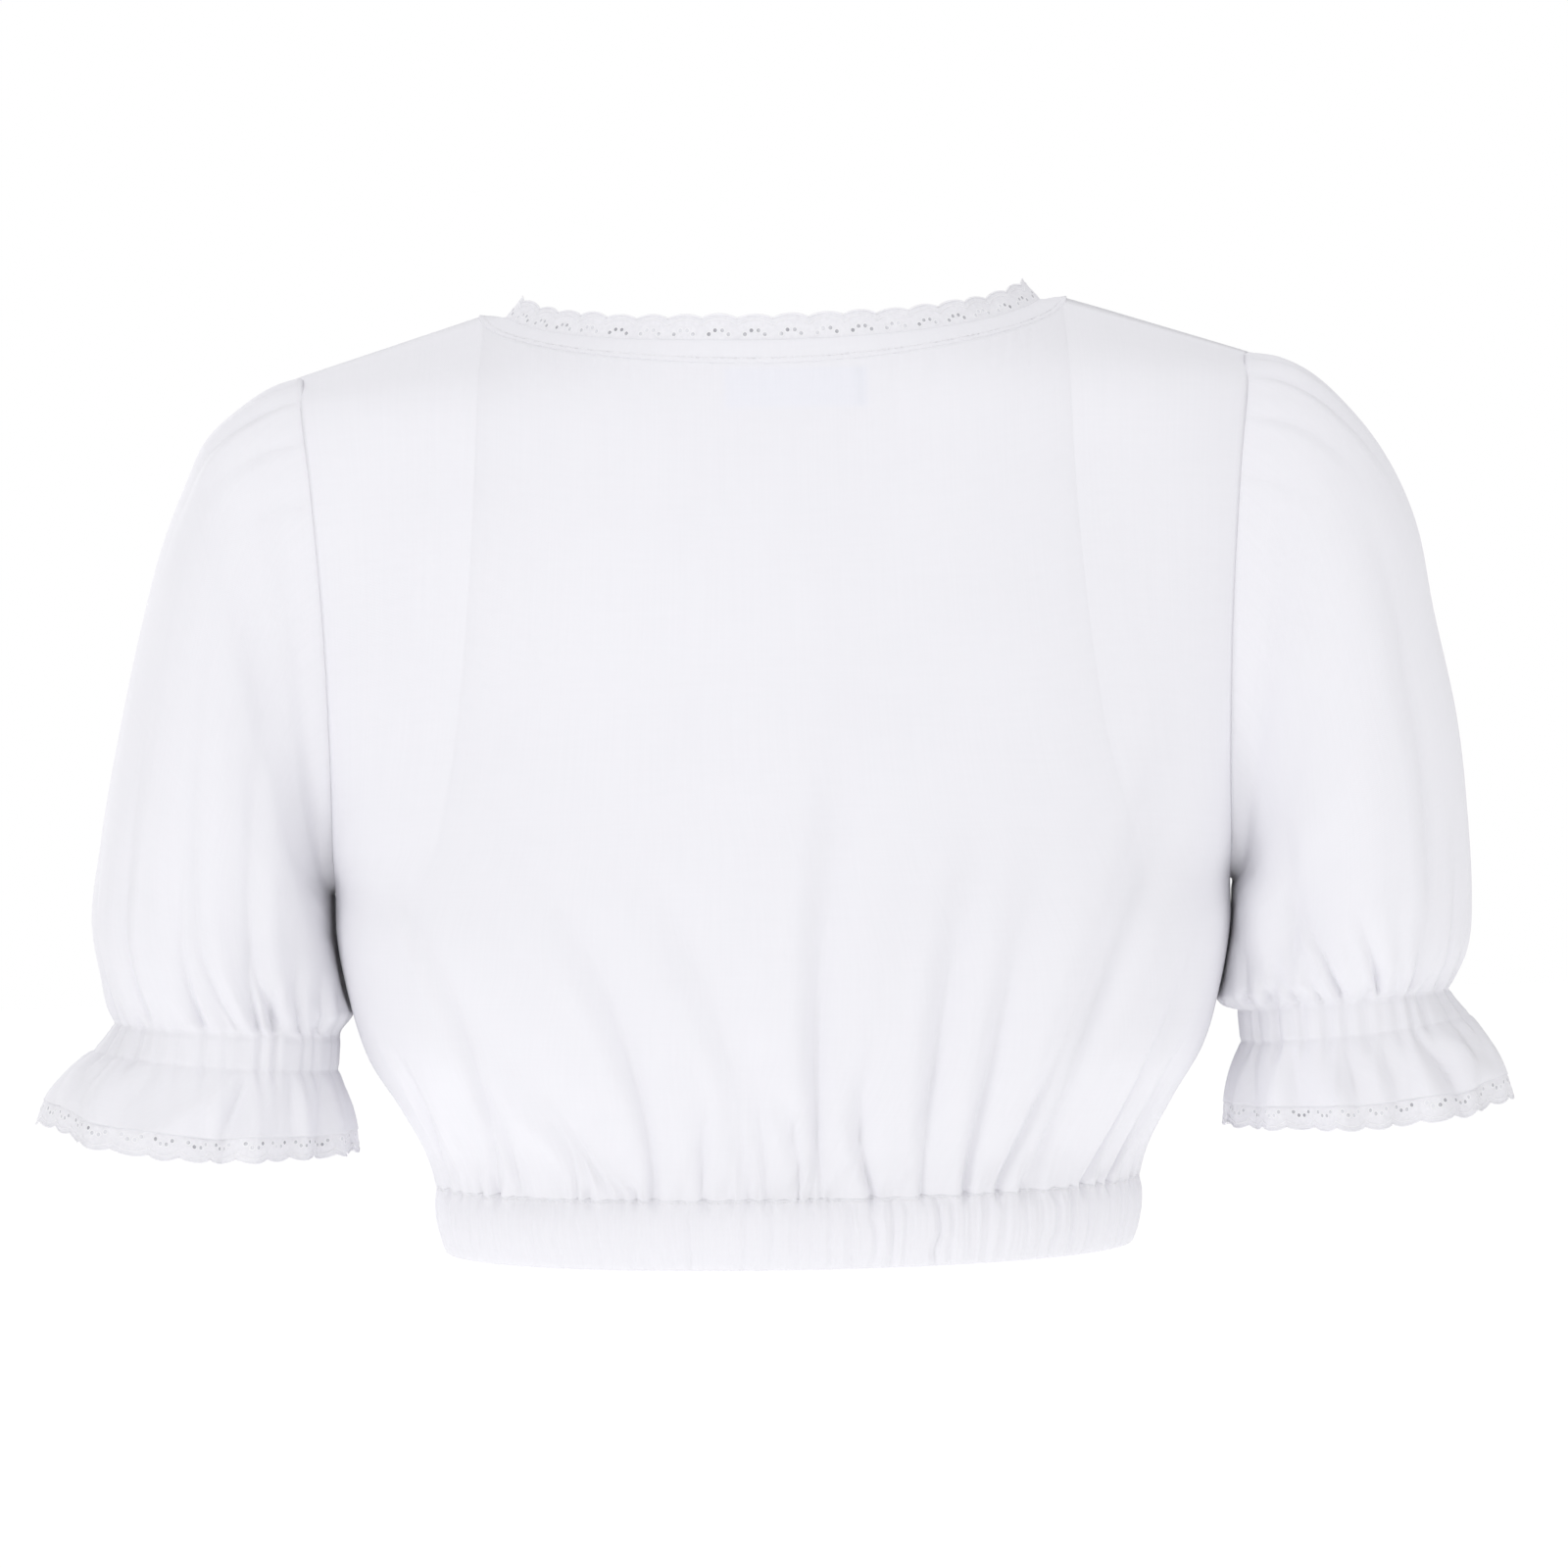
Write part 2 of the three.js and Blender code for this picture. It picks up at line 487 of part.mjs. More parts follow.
function neckLaceSolid(edge) {
  const rings = [[], [], [], []];
  edge.forEach((here, i) => {
    const next = edge[(i + 1) % edge.length];
    for (let k = 0; k < POINTS_PER_SCALLOP; k++) {
      const share = k / POINTS_PER_SCALLOP;
      const inward = here.inward.clone().lerp(next.inward, share).normalize();
      const normal = here.normal.clone().lerp(next.normal, share).normalize();
      const footOf = (e) => moved(e.point, e.inward, 2 * SEAM_GAP + BINDING_WIDTH);
      const foot = footOf(here).lerp(footOf(next), share);
      const lean = inward.clone().setZ(inward.z + NECK_LACE_RISE).normalize();
      const across = normal.addScaledVector(lean, -normal.dot(lean)).normalize();
      const tip = moved(foot, lean, LACE_WIDTH * scallop(share));
      rings[0].push(foot);
      rings[1].push(tip);
      rings[2].push(moved(tip, across, -LACE));
      rings[3].push(moved(foot, across, -LACE));
    }
  });
  return meshOfRings("neck_lace", rings, false, EYELET);
}

// Hem casing: an even ring of gathers under both panels.
function hemCasingSolid() {
  const line = [BACK, FRONT].flatMap((half) => {
    const seam = (turn) => sectionPoint(0, half, half * -Math.sin(turn));
    const turns = evenSteps(seam, -Math.PI / 2, Math.PI / 2, (HEM_GATHERS * POINTS_PER_GATHER) / 2);
    return turns.slice(0, -1).map(seam);
  });
  const ring = ({ down, drawn, relief }) =>
    line.map((point, i) => {
      const outward = new THREE.Vector3(point.x, point.y * HEM_ROUNDNESS, 0).normalize();
      const wave = relief * HEM_GATHER_RELIEF * Math.cos((2 * Math.PI * i) / POINTS_PER_GATHER);
      const place = moved(point, outward, wave - drawn);
      return place.setZ(point.z - SEAM_GAP - down * CASING_DEPTH);
    });
  const inside = [
    { down: 1, drawn: HEM_TAPER + CASING, relief: 0 },
    { down: 0, drawn: CASING, relief: 0 },
  ];
  const plain = inside.map((row) => ring(row).filter((_, i) => i % 2 === 0));
  return meshOfRings("hem_casing", [...CASING_RINGS.map(ring), ...plain], false, SHIRTING);
}

// Sleeves are made for the wearer's left and mirrored for the right.

const CUFF_DOWN = new THREE.Vector3(Math.sin(CUFF_TILT), 0, -Math.cos(CUFF_TILT));
const CUFF_OUT = new THREE.Vector3(Math.cos(CUFF_TILT), 0, Math.sin(CUFF_TILT));
const RUFFLE_TOTAL = RUFFLE_LENGTH + SEAM_GAP + LACE_WIDTH;

// The cuff from the channel's top edge down through the ruffle and the lace, at an angle from the outside of
// the arm towards the back. The ruffle leaves the channel turned out and curves down again.
function cuffPoint(cuff, angle, down) {
  const toBody = (1 - Math.cos(angle)) / 2;
  const outward = Math.max(Math.cos(angle), 0) ** 2;
  const inward = Math.max(-Math.cos(angle), 0) ** 2;
  const { middle, inner } = RUFFLE_TURN;
  const turn = degToRad(middle + (cuff.turn - middle) * outward + (inner - middle) * inward);
  const inChannel = Math.min(down, CUFF_CHANNEL);
  const lean = CHANNEL_LEAN.out * outward * (inChannel / CUFF_CHANNEL) ** CHANNEL_LEAN.power;
  const share = Math.max(0, down - CUFF_CHANNEL) / RUFFLE_TOTAL;
  const length = RUFFLE_TOTAL - RUFFLE_PRESSED * toBody ** 2;
  const out = (length * (Math.cos(turn * (1 - share)) - Math.cos(turn))) / turn;
  const fallen = (length * (Math.sin(turn) - Math.sin(turn * (1 - share)))) / turn;
  const uneven = 1 + RUFFLE_UNEVEN * Math.sin(2 * angle + RUFFLE_PHASE.uneven);
  const wave = RUFFLE_WAVE * share * uneven * Math.cos(RUFFLE_WAVES * angle + RUFFLE_PHASE.waves);
  const radius = cuff.radius + lean + out + wave * (1 - RUFFLE_CALM * toBody);
  return new THREE.Vector3(cuff.x, 0, cuff.z)
    .addScaledVector(CUFF_DOWN, inChannel * (1 - CHANNEL_LEAN.less * outward) + fallen)
    .addScaledVector(CUFF_OUT, radius * Math.cos(angle))
    .setY(radius * Math.sin(angle));
}

// The way straight out of the cuff's cloth.
function cuffNormal(cuff, angle, down) {
  const step = { angle: 0.03, down: 1.5 };
  const at = (a, d) => cuffPoint(cuff, angle + a * step.angle, Math.max(down + d * step.down, 0));
  const round = at(1, 0).sub(at(-1, 0));
  const along = at(0, 1).sub(at(0, -1));
  return along.cross(round).normalize();
}

// How far the gathers lift the cuff's cloth, at a distance past the channel.
function gatherRelief(angle, past) {
  const fade = Math.exp(-((Math.max(past, 0) / CUFF_GATHER_FADE) ** 2));
  return CUFF_GATHER_RELIEF * fade * Math.cos(CUFF_GATHERS * angle);
}

// A point of the sleeve between the armhole, way 0, and the channel, way 1.
function sleevePoint(sleeve, angle, way) {
  const half = Math.sin(angle) >= 0 ? BACK : FRONT;
  const column = [armholePoint(Math.abs(angle), half)];
  column[0].x += SEAM_GAP * 1.7;
  for (const s of SLEEVE_SECTIONS) {
    const top = new THREE.Vector3(sleeve === "left" ? s.leftX : s.rightX, 0, s.topZ);
    const point = top.lerp(new THREE.Vector3(s.underX, 0, s.underZ), (1 - Math.cos(angle)) / 2);
    column.push(point.setY(s.half * Math.sin(angle)));
  }
  column.push(cuffPoint(CUFFS[sleeve], angle, 0));
  return new THREE.CatmullRomCurve3(column).getPoint(way);
}

// How far the folds press a sleeve point in: each starts shallow, is deepest halfway and fades again.
function sleeveFold(angle, way) {
  const degrees = radToDeg(angle);
  return SLEEVE_FOLDS.reduce((sum, fold) => {
    const gone = (way - fold.from) / (fold.to - fold.from);
    if (gone < 0 || gone > 1) return sum;
    const centre = fold.around + fold.drift * gone;
    const off = (degrees - centre) / (fold.spread * (1 + 0.6 * gone));
    const strength = fold.depth * 4 * lerp(0.1, 1, gone) * (1 - gone);
    return sum + strength * Math.exp(-off * off);
  }, 0);
}

function sleeveSolid(sleeve) {
  const angles = (count) => Array.from({ length: count }, (_, i) => -Math.PI + (2 * Math.PI * i) / count);
  const round = angles(SLEEVE_COLUMNS);
  const ways = Array.from({ length: SLEEVE_ROWS + 1 }, (_, k) => (SLEEVE_END * k) / SLEEVE_ROWS);
  const form = ways.map((way) => round.map((angle) => sleevePoint(sleeve, angle, way)));
  const formNormals = tubeNormals(form);
  const folded = form.map((row, k) =>
    row.map((point, i) => moved(point, formNormals[k][i], -sleeveFold(round[i], ways[k]))),
  );
  const normals = tubeNormals(folded);
  normals[0].forEach((normal) => normal.setX(0).normalize()); // the wall's end lies along the armhole seam
  const inside = folded.map((row, k) => row.map((point, i) => moved(point, normals[k][i], -CLOTH)));

  const downs = [0, 0.5, 1].map((share) => share * CUFF_CHANNEL);
  downs.push(...RUFFLE_RINGS.map((share) => CUFF_CHANNEL + share * RUFFLE_LENGTH));
  const cuff = (count, liftAt) =>
    downs.map((down) =>
      angles(count).map((angle) => {
        const normal = cuffNormal(CUFFS[sleeve], angle, down);
        return moved(cuffPoint(CUFFS[sleeve], angle, down), normal, liftAt(angle, down - CUFF_CHANNEL));
      }),
    );
  const lowerOut = cuff(2 * SLEEVE_COLUMNS, gatherRelief);
  const lowerIn = cuff(SLEEVE_COLUMNS, () => -CLOTH - CUFF_GATHER_RELIEF / 2);
  const rings = [...folded.slice(0, -1), ...lowerOut, ...lowerIn.reverse(), ...inside.slice(0, -1).reverse()];
  return meshOfRings(`sleeve_${sleeve}`, onSide(sleeve, rings), false, SHIRTING);
}

// Puts rings made for the wearer's left on the side they belong to.
function onSide(sleeve, rings) {
  const sign = sleeve === "left" ? 1 : -1;
  return rings.map((ring) => ring.map((point) => point.clone().setX(sign * point.x)));
}

function cuffLaceSolid(sleeve) {
  const count = CUFF_SCALLOPS * POINTS_PER_SCALLOP;
  const start = CUFF_CHANNEL + RUFFLE_LENGTH + SEAM_GAP;
  const rings = [[], [], [], []];
  for (let i = 0; i < count; i++) {
    const angle = (2 * Math.PI * i) / count;
    const end = start + LACE_WIDTH * scallop((i % POINTS_PER_SCALLOP) / POINTS_PER_SCALLOP);
    const at = (down, drawn) => {
      const normal = cuffNormal(CUFFS[sleeve], angle, down);
      return moved(cuffPoint(CUFFS[sleeve], angle, down), normal, -drawn);
    };
    rings[0].push(at(start, 0));
    rings[1].push(at(end, 0));
    rings[2].push(at(end, LACE));
    rings[3].push(at(start, LACE));
  }
  return meshOfRings(`cuff_lace_${sleeve}`, onSide(sleeve, rings), false, EYELET);
}

// The label lies against the inside of the back panel.
function labelSolid() {
  const row = (up, inset) =>
    Array.from({ length: LABEL.steps + 1 }, (_, i) => {
      const across = (LABEL.x + LABEL.width * (i / LABEL.steps - 0.5)) / SHOULDER_TIP.x;
      return moved(bodyForm(BACK, across, up), bodyNormal(BACK, across, up), -inset);
    });
  const ring = (z) => {
    const up = shareAtHeight(BACK, 0, z);
    return [...row(up, LABEL.inset), ...row(up, LABEL.inset + LABEL.thick).reverse()];
  };
  return meshOfRings("neck_label", [ring(LABEL.top - LABEL.height), ring(LABEL.top)], true, RIBBON);
}

const panels = { [BACK]: bodyPanel(BACK), [FRONT]: bodyPanel(FRONT) };
const neck = neckEdge(panels);
const blouse = new THREE.Group();
blouse.add(
  panelSolid("back", panels[BACK]),
  panelSolid("front", panels[FRONT]),
  sleeveSolid("left"),
  sleeveSolid("right"),
  hemCasingSolid(),
  bindingSolid(neck),
  neckLaceSolid(neck),
  cuffLaceSolid("left"),
  cuffLaceSolid("right"),
  labelSolid(),
);

export default blouse;
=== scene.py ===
import math

import bpy
import numpy as np
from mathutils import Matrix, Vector


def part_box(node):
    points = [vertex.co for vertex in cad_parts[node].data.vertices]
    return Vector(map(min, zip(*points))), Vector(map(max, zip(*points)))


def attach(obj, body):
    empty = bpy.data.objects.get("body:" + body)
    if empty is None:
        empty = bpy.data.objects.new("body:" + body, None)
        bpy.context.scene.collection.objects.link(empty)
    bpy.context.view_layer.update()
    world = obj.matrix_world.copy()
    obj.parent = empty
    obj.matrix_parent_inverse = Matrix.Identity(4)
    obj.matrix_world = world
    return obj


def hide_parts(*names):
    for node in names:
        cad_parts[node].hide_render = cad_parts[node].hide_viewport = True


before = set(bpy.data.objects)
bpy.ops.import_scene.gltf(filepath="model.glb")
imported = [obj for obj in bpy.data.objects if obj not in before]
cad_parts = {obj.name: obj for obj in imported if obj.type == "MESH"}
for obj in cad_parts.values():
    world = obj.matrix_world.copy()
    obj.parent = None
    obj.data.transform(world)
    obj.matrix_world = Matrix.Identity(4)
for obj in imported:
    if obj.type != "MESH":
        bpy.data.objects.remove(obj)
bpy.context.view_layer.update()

# Camera, floor and light: the camera stands 2.4 m behind the blouse, level with the bust, and leans one
# degree. The blouse hangs where shoulders carry it, in a white studio with soft lights: the key on the
# wearer's left, others from the right, above and behind the camera, and one on the blouse's front.
bpy.ops.object.select_all(action="DESELECT")
bpy.ops.object.camera_add(
    location=(-0.0012, 2.4, -0.1984),
    rotation=(math.radians(90), math.radians(1.0), math.radians(180)),
)
camera = bpy.context.object
camera.data.angle = math.radians(15.28)
bpy.context.scene.camera = camera

FLOOR_Z, FLOOR_SIZE = -1.38, 60
bpy.ops.mesh.primitive_plane_add(size=FLOOR_SIZE, location=(0, 0, FLOOR_Z))
floor = bpy.context.object
floor.name = "floor"
floor.data.materials.append(bpy.data.materials.new("pale floor"))
floor.data.materials[0].use_nodes = True
floor_shader = floor.data.materials[0].node_tree.nodes["Principled BSDF"]
floor_shader.inputs["Base Color"].default_value = (0.9, 0.9, 0.9, 1)
floor_shader.inputs["Roughness"].default_value = 0.9
floor_shader.inputs["Emission Color"].default_value = (1, 1, 1, 1)
floor_shader.inputs["Emission Strength"].default_value = 0.5

# the white backdrop is brighter than the light it gives
BACKDROP, DOME_LIGHT = 1.0, 0.6
world = bpy.data.worlds.new("studio")
world.use_nodes = True
sky = world.node_tree
sky_light = sky.nodes["Background"]
sky_light.inputs["Color"].default_value = (1, 1, 1, 1)
seen = sky.nodes.new("ShaderNodeLightPath")
brightness = sky.nodes.new("ShaderNodeMapRange")
brightness.inputs["To Min"].default_value = DOME_LIGHT
brightness.inputs["To Max"].default_value = BACKDROP
sky.links.new(seen.outputs["Is Camera Ray"], brightness.inputs["Value"])
sky.links.new(brightness.outputs["Result"], sky_light.inputs["Strength"])
bpy.context.scene.world = world

LIT_PLACE = Vector((0, 0, -0.2))
# name, place, size in metres, power in watts
for lamp_name, place, size, power in (
    ("key light", (2.0, 1.9, 0.7), 0.7, 12),
    ("side light", (-2.3, 1.3, 0.4), 1.0, 6),
    ("top light", (0, 0.5, 1.9), 1.2, 10),
    ("camera light", (0.2, 2.7, 0.4), 1.2, 5),
    ("front light", (1.4, -2.2, 0.7), 0.8, 20),
):
    bpy.ops.object.light_add(type="AREA", location=place)
    lamp = bpy.context.object
    lamp.name = lamp_name
    lamp.data.size = size
    lamp.data.energy = power
    lamp.rotation_euler = (LIT_PLACE - lamp.location).to_track_quat("-Z", "Y").to_euler()

bpy.context.scene.view_settings.view_transform = "Standard"

# Back and front: two panels of fine white cotton, gathered into the hem casing and lightly under the neck
# binding, joined at the shoulders and sides. Sections run from the hem seam up, in millimetres: the side's
# half width, the height, and how far the middle of the back and front stands out.
MM = 0.001
BACK, FRONT = 1, -1
NECK_HALF_WIDTH = 119.0
NECK_POINT_Z = -4.0
SHOULDER_TIP = (195.0, -28.0)
NECK_DROP = {BACK: 25.0, FRONT: 132.0}
NECK_ROUNDNESS = {BACK: 0.53, FRONT: 0.62}
UNDERARM = (183.5, -240.0)
ARMHOLE_DEPTH = {BACK: 50.0, FRONT: 46.0}
ARMHOLE_INSET = {BACK: 6.0, FRONT: 12.0}
HEM_SEAM_Z = -359.7
HEM_DIP = 3.0
# side, back, front, back z, front z, square, turn
BODY_SECTIONS = (
    (144, 94, 114, -359.7, -359.7, 2.1, 2.1),
    (148, 98, 120, -347.5, -347.5, 2.2, 2.2),
    (158.5, 103, 127, -328.5, -328.5, 2.3, 2.3),
    (171, 106.5, 132, -307.5, -307.5, 2.4, 2.4),
    (179, 108.5, 136, -280.5, -280.5, 2.4, 2.4),
    (183, 109, 138, -258, -258, 2.4, 2.35),
    (0, 108.5, 138.5, -236, -236, 2.4, 2.2),
    (0, 107, 137, -210, -212, 2.4, 1.7),
    (0, 103.5, 132, -170, -174, 2.3, 1.3),
    (0, 96, 118, -122, -126, 2.3, 1.15),
    (0, 84.5, 98, -74, -80, 2.2, 1.1),
    (0, 72, 76, -36, -42, 2.2, 1.1),
    (0, 58, 55, -6, -14, 2.2, 1.3),
)
UNDERARM_SECTION = 6
TOP_SECTION = 12
NECK_SHARE = NECK_HALF_WIDTH / SHOULDER_TIP[0]


def lerp(a, b, share):
    return a + (b - a) * share


def smoothstep(value, low, high):
    share = np.clip((value - low) / (high - low), 0, 1)
    return share * share * (3 - 2 * share)


def point(x, y, z):
    return np.stack(np.broadcast_arrays(x, y, z), axis=-1).astype(float)


def unit(vectors):
    return vectors / np.maximum(np.linalg.norm(vectors, axis=-1, keepdims=True), 1e-9)


def run_along(line):
    """How far along a line each of its points is."""
    return np.concatenate([[0], np.cumsum(np.linalg.norm(np.diff(line, axis=0), axis=1))])


def armhole_point(angle, half):
    """The armhole seam: angle 0 is the shoulder tip and pi the underarm."""
    high = (1 + np.cos(angle)) / 2
    x = lerp(UNDERARM[0], SHOULDER_TIP[0], high) - ARMHOLE_INSET[half] * np.sin(angle) ** 2
    return point(x, half * ARMHOLE_DEPTH[half] * np.sin(angle), lerp(UNDERARM[1], SHOULDER_TIP[1], high))


def section_point(section, half, across):
    side_x, back, front, back_z, front_z, square, turn = BODY_SECTIONS[section]
    centre_y = half * (back if half == BACK else front)
    centre_z = back_z if half == BACK else front_z
    if section < UNDERARM_SECTION:
        edge = np.array((side_x, 0, back_z), float)
    else:
        edge = armhole_point(math.pi * (TOP_SECTION - section) / (TOP_SECTION - UNDERARM_SECTION), half)
    side = np.minimum(np.abs(across), 1)
    if section == TOP_SECTION:
        in_neck = np.maximum(0, 1 - (side / NECK_SHARE) ** 2)
        on_shoulder = np.clip((side - NECK_SHARE) / (1 - NECK_SHARE), 0, 1)
        z = lerp(lerp(NECK_POINT_Z, centre_z, in_neck), SHOULDER_TIP[1], on_shoulder)
        return point(across * edge[0], centre_y * in_neck**turn, z)
    bow = (1 - side**square) ** (1 / turn)
    z = lerp(centre_z, edge[2], side**1.6) - (HEM_DIP * bow if section == 0 else 0)
    return point(across * edge[0], lerp(edge[1], centre_y, bow), z)


def spline(points, share):
    """Places on smooth lines through rows of points, at a share of the way along."""
    last = len(points) - 1
    way = np.clip(share, 0, 1) * last
    start = np.minimum(way.astype(int), last - 1)
    t = (way - start)[..., None]
    longer = np.concatenate([2 * points[:1] - points[1:2], points, 2 * points[-1:] - points[-2:-1]])
    a, b, c, d = (np.take_along_axis(longer, (start + i)[None, ..., None], 0)[0] for i in range(4))
    steps = (np.linalg.norm(q - p, axis=-1, keepdims=True) for p, q in ((a, b), (b, c), (c, d)))
    ab, bc, cd = (np.maximum(step, 1e-4) ** 0.5 for step in steps)
    leave = ((b - a) / ab - (c - a) / (ab + bc) + (c - b) / bc) * bc
    arrive = ((c - b) / bc - (d - b) / (bc + cd) + (d - c) / cd) * bc
    bend = 3 * (c - b) - 2 * leave - arrive
    return b + leave * t + bend * t**2 + (2 * (b - c) + leave + arrive) * t**3


def body_form(half, across, up):
    columns = np.stack([section_point(k, half, across) for k in range(len(BODY_SECTIONS))])
    place = spline(columns, up)
    place[..., 1] = half * np.maximum(half * place[..., 1], 0)
    return place


HALVINGS = 24


def column_top(half, across):
    """How far up each column reaches: to the shoulder seam, or to the scoop of the neck."""
    side = np.minimum(np.abs(across) / NECK_SHARE, 1)
    height = NECK_POINT_Z - NECK_DROP[half] * (1 - side**2) ** NECK_ROUNDNESS[half]
    low, high = np.full(across.shape, 0.4), np.ones(across.shape)
    for _ in range(HALVINGS):
        middle = (low + high) / 2
        below = body_form(half, across, middle)[..., 2] < height
        low, high = np.where(below, middle, low), np.where(below, high, middle)
    return np.where(np.abs(across) >= NECK_SHARE, 1, low)


def outward(grid, closed=False):
    """Unit normals of a grid of points, rows by columns, away from the blouse's middle."""
    if closed:
        round_way = np.roll(grid, -1, 1) - np.roll(grid, 1, 1)
    else:
        round_way = np.gradient(grid, axis=1)
    normal = unit(np.cross(round_way, np.gradient(grid, axis=0)))
    middle = grid.mean(axis=1, keepdims=True)
    turned = (normal * (grid - middle)).sum(-1).mean() < 0
    return -normal if turned else normal


def crease(off, sharp):
    """Section of a crease: a soft valley, steeper on one side, between low rolls, with a tight fold in it."""
    off = off * (1 + 0.3 * np.tanh(off))
    rolls = 0.3 * np.exp(-((np.abs(off) - 1.9) ** 2) * 1.4)
    return np.exp(-(off**2)) - rolls + sharp * np.exp(-((3 * off) ** 2))


def ripple(u, v, cells, seed):
    """Smooth random values from -1 to 1 on a sheet, cells across and up."""
    values = np.random.default_rng(seed).uniform(-1, 1, (cells[1] + 2, cells[0] + 2))
    x, y = np.clip(u, 0, 1) * cells[0], np.clip(v, 0, 1) * cells[1]
    i, j = np.minimum(x.astype(int), cells[0] - 1), np.minimum(y.astype(int), cells[1] - 1)
    s, t = smoothstep(x - i, 0, 1), smoothstep(y - j, 0, 1)
    low = lerp(values[j, i], values[j, i + 1], s)
    return lerp(low, lerp(values[j + 1, i], values[j + 1, i + 1], s), t)


# foot x, foot z, middle x, middle z, head x, head z, depth, width
BODY_FOLDS = {
    BACK: (
        (53, -354, 67, -290, 105, -220, 3.4, 6.5), (19, -353, 30, -279, 61, -222, 2.4, 7.5),
        (-13, -357, -16, -256, -34, -166, 4.0, 7), (-53, -350, -63, -288, -86, -204, 3.6, 6.5),
        (-70, -354, -90, -275, -109, -204, 3.0, 6.5), (-95, -353, -131, -270, -166, -165, 3.6, 7.5),
        (-83, -351, -113, -297, -136, -227, 2.8, 5.5), (-118, -351, -152, -301, -174, -236, 2.8, 5.5),
        (-128, -351, -150, -325, -171, -286, 2.0, 4.5), (66, -353, 104, -314, 137, -272, 1.7, 12),
        (117, -351, 136, -273, 172, -213, 2.4, 6.5), (137, -345, 151, -319, 167, -286, 2.2, 4.5),
        (-33, -355, -29, -326, -40, -292, 2.4, 4.5), (9, -355, 11, -326, 14, -294, 1.8, 5),
        (84, -355, 87, -342, 93, -328, 1.6, 4), (107, -355, 115, -332, 128, -304, 1.6, 4.5),
        (34, -356, 33, -334, 28, -309, 1.8, 4), (-4, -356, -3, -337, 2, -316, 1.7, 3.5),
    ),
    FRONT: (
        (-48, -354, -60, -285, -82, -214, 3.4, 7), (-22, -355, -28, -280, -40, -205, 3.0, 7.5),
        (8, -356, 10, -262, 16, -186, 3.6, 8), (40, -353, 50, -284, 68, -208, 3.4, 7),
        (66, -353, 84, -278, 104, -216, 3.0, 6.5), (92, -352, 116, -284, 142, -212, 3.4, 7),
        (-76, -352, -99, -296, -124, -232, 2.8, 6), (-104, -351, -131, -288, -158, -220, 3.0, 6.5),
        (116, -350, 144, -304, 170, -246, 2.6, 5.5), (-128, -349, -150, -312, -172, -262, 2.4, 5),
        (24, -356, 27, -322, 33, -286, 2.2, 4.5), (-8, -356, -9, -326, -14, -290, 2.0, 4.5),
        (-62, -354, -66, -324, -76, -294, 2.0, 4.5), (80, -353, 84, -328, 92, -300, 1.8, 4.5),
    ),
}


def fold_line(fold, z):
    """How far along a fold each height is, and where the fold runs there."""
    foot_x, foot_z, middle_x, middle_z, head_x, head_z = fold[:6]
    way = np.clip((z - HEM_SEAM_Z) / (head_z - HEM_SEAM_Z), 0, 1)
    middle = (middle_z - HEM_SEAM_Z) / (head_z - HEM_SEAM_Z)
    bend = (middle_x - foot_x - middle * (head_x - foot_x)) / (middle * (1 - middle))
    return way, foot_x + way * (head_x - foot_x) + bend * way * (1 - way)


def crowded(crowd, places, ends):
    """Moves evenly spread places on each row to where the crowd is thick."""
    run = np.cumsum(crowd, axis=1) - crowd[:, :1]
    run = lerp(ends[0], ends[1], run / run[:, -1:])
    fine = np.linspace(*ends, crowd.shape[1])
    return np.stack([np.interp(place, line, fine) for place, line in zip(places, run)])


def body_columns(half, across, up, share):
    """Draws the columns together along the folds, so that their tight feet are well formed."""
    fine = np.linspace(-1, 1, 1601)[None]
    height = body_form(half, 0 * share, up[:, :1])[..., 2]
    side_x = body_form(half, 1 + 0 * share, up[:, :1])[..., 0]
    crowd = np.ones((len(up), fine.shape[1]))
    for fold in BODY_FOLDS[half]:
        way, centre = fold_line(fold, height)
        near = np.exp(-(((fine * side_x - centre) / (0.45 * fold[7])) ** 2))
        crowd += 3.5 * (1 - way) * (1 - smoothstep(share, 0.45, 0.8)) * near
    return crowded(crowd, across, (-1, 1))


def body_folds(half, plain, normal):
    """How far the long folds press the panel in, in millimetres."""
    x, z = plain[..., 0], plain[..., 2]
    pressed = np.zeros(x.shape)
    for fold in BODY_FOLDS[half]:
        foot_x, foot_z, _, _, head_x, head_z, depth, width = fold
        way, centre = fold_line(fold, z)
        lean = 1 / np.hypot(1, (head_x - foot_x) / (head_z - foot_z))
        off = (x - centre) * lean / np.maximum(np.abs(normal[..., 1]), 0.35)
        off /= width * (0.38 + 1.35 * way)
        tight = np.minimum(0.8, 18 / width**2) * (1 - way) ** 2
        pressed += 1.15 * depth * (0.34 + 3.1 * way) * (1 - way) ** 1.15 * crease(off, tight)
    return pressed * (1 - (np.abs(x) / UNDERARM[0]) ** 14)


def gathers(along, away, seam_length, seed, pitch, depth, reach):
    """How far small gathers press the cloth in, along a seam and away from it, in millimetres."""
    rng = np.random.default_rng(seed)
    places = np.arange(pitch / 2, seam_length, pitch)
    pressed = np.zeros(along.shape)
    for place in places:
        here = place + rng.uniform(-0.36, 0.36) * pitch
        long = reach * rng.uniform(0.3, 1.0) ** 1.6
        deep = depth * rng.uniform(0.45, 1.2)
        lean = rng.uniform(-0.16, 0.16)
        width = pitch * rng.uniform(0.19, 0.27) * (1 + away / 22)
        fade = np.exp(-((away / long) ** 1.5))
        off = (along - here - lean * away) / width
        roll = 0.4 * np.exp(-((away / (0.6 * reach)) ** 2)) * np.exp(-((off / 2.2) ** 2))
        pressed += deep * fade * (np.exp(-(off**2)) - roll)
    return pressed


SHOULDER_COLUMNS = 36
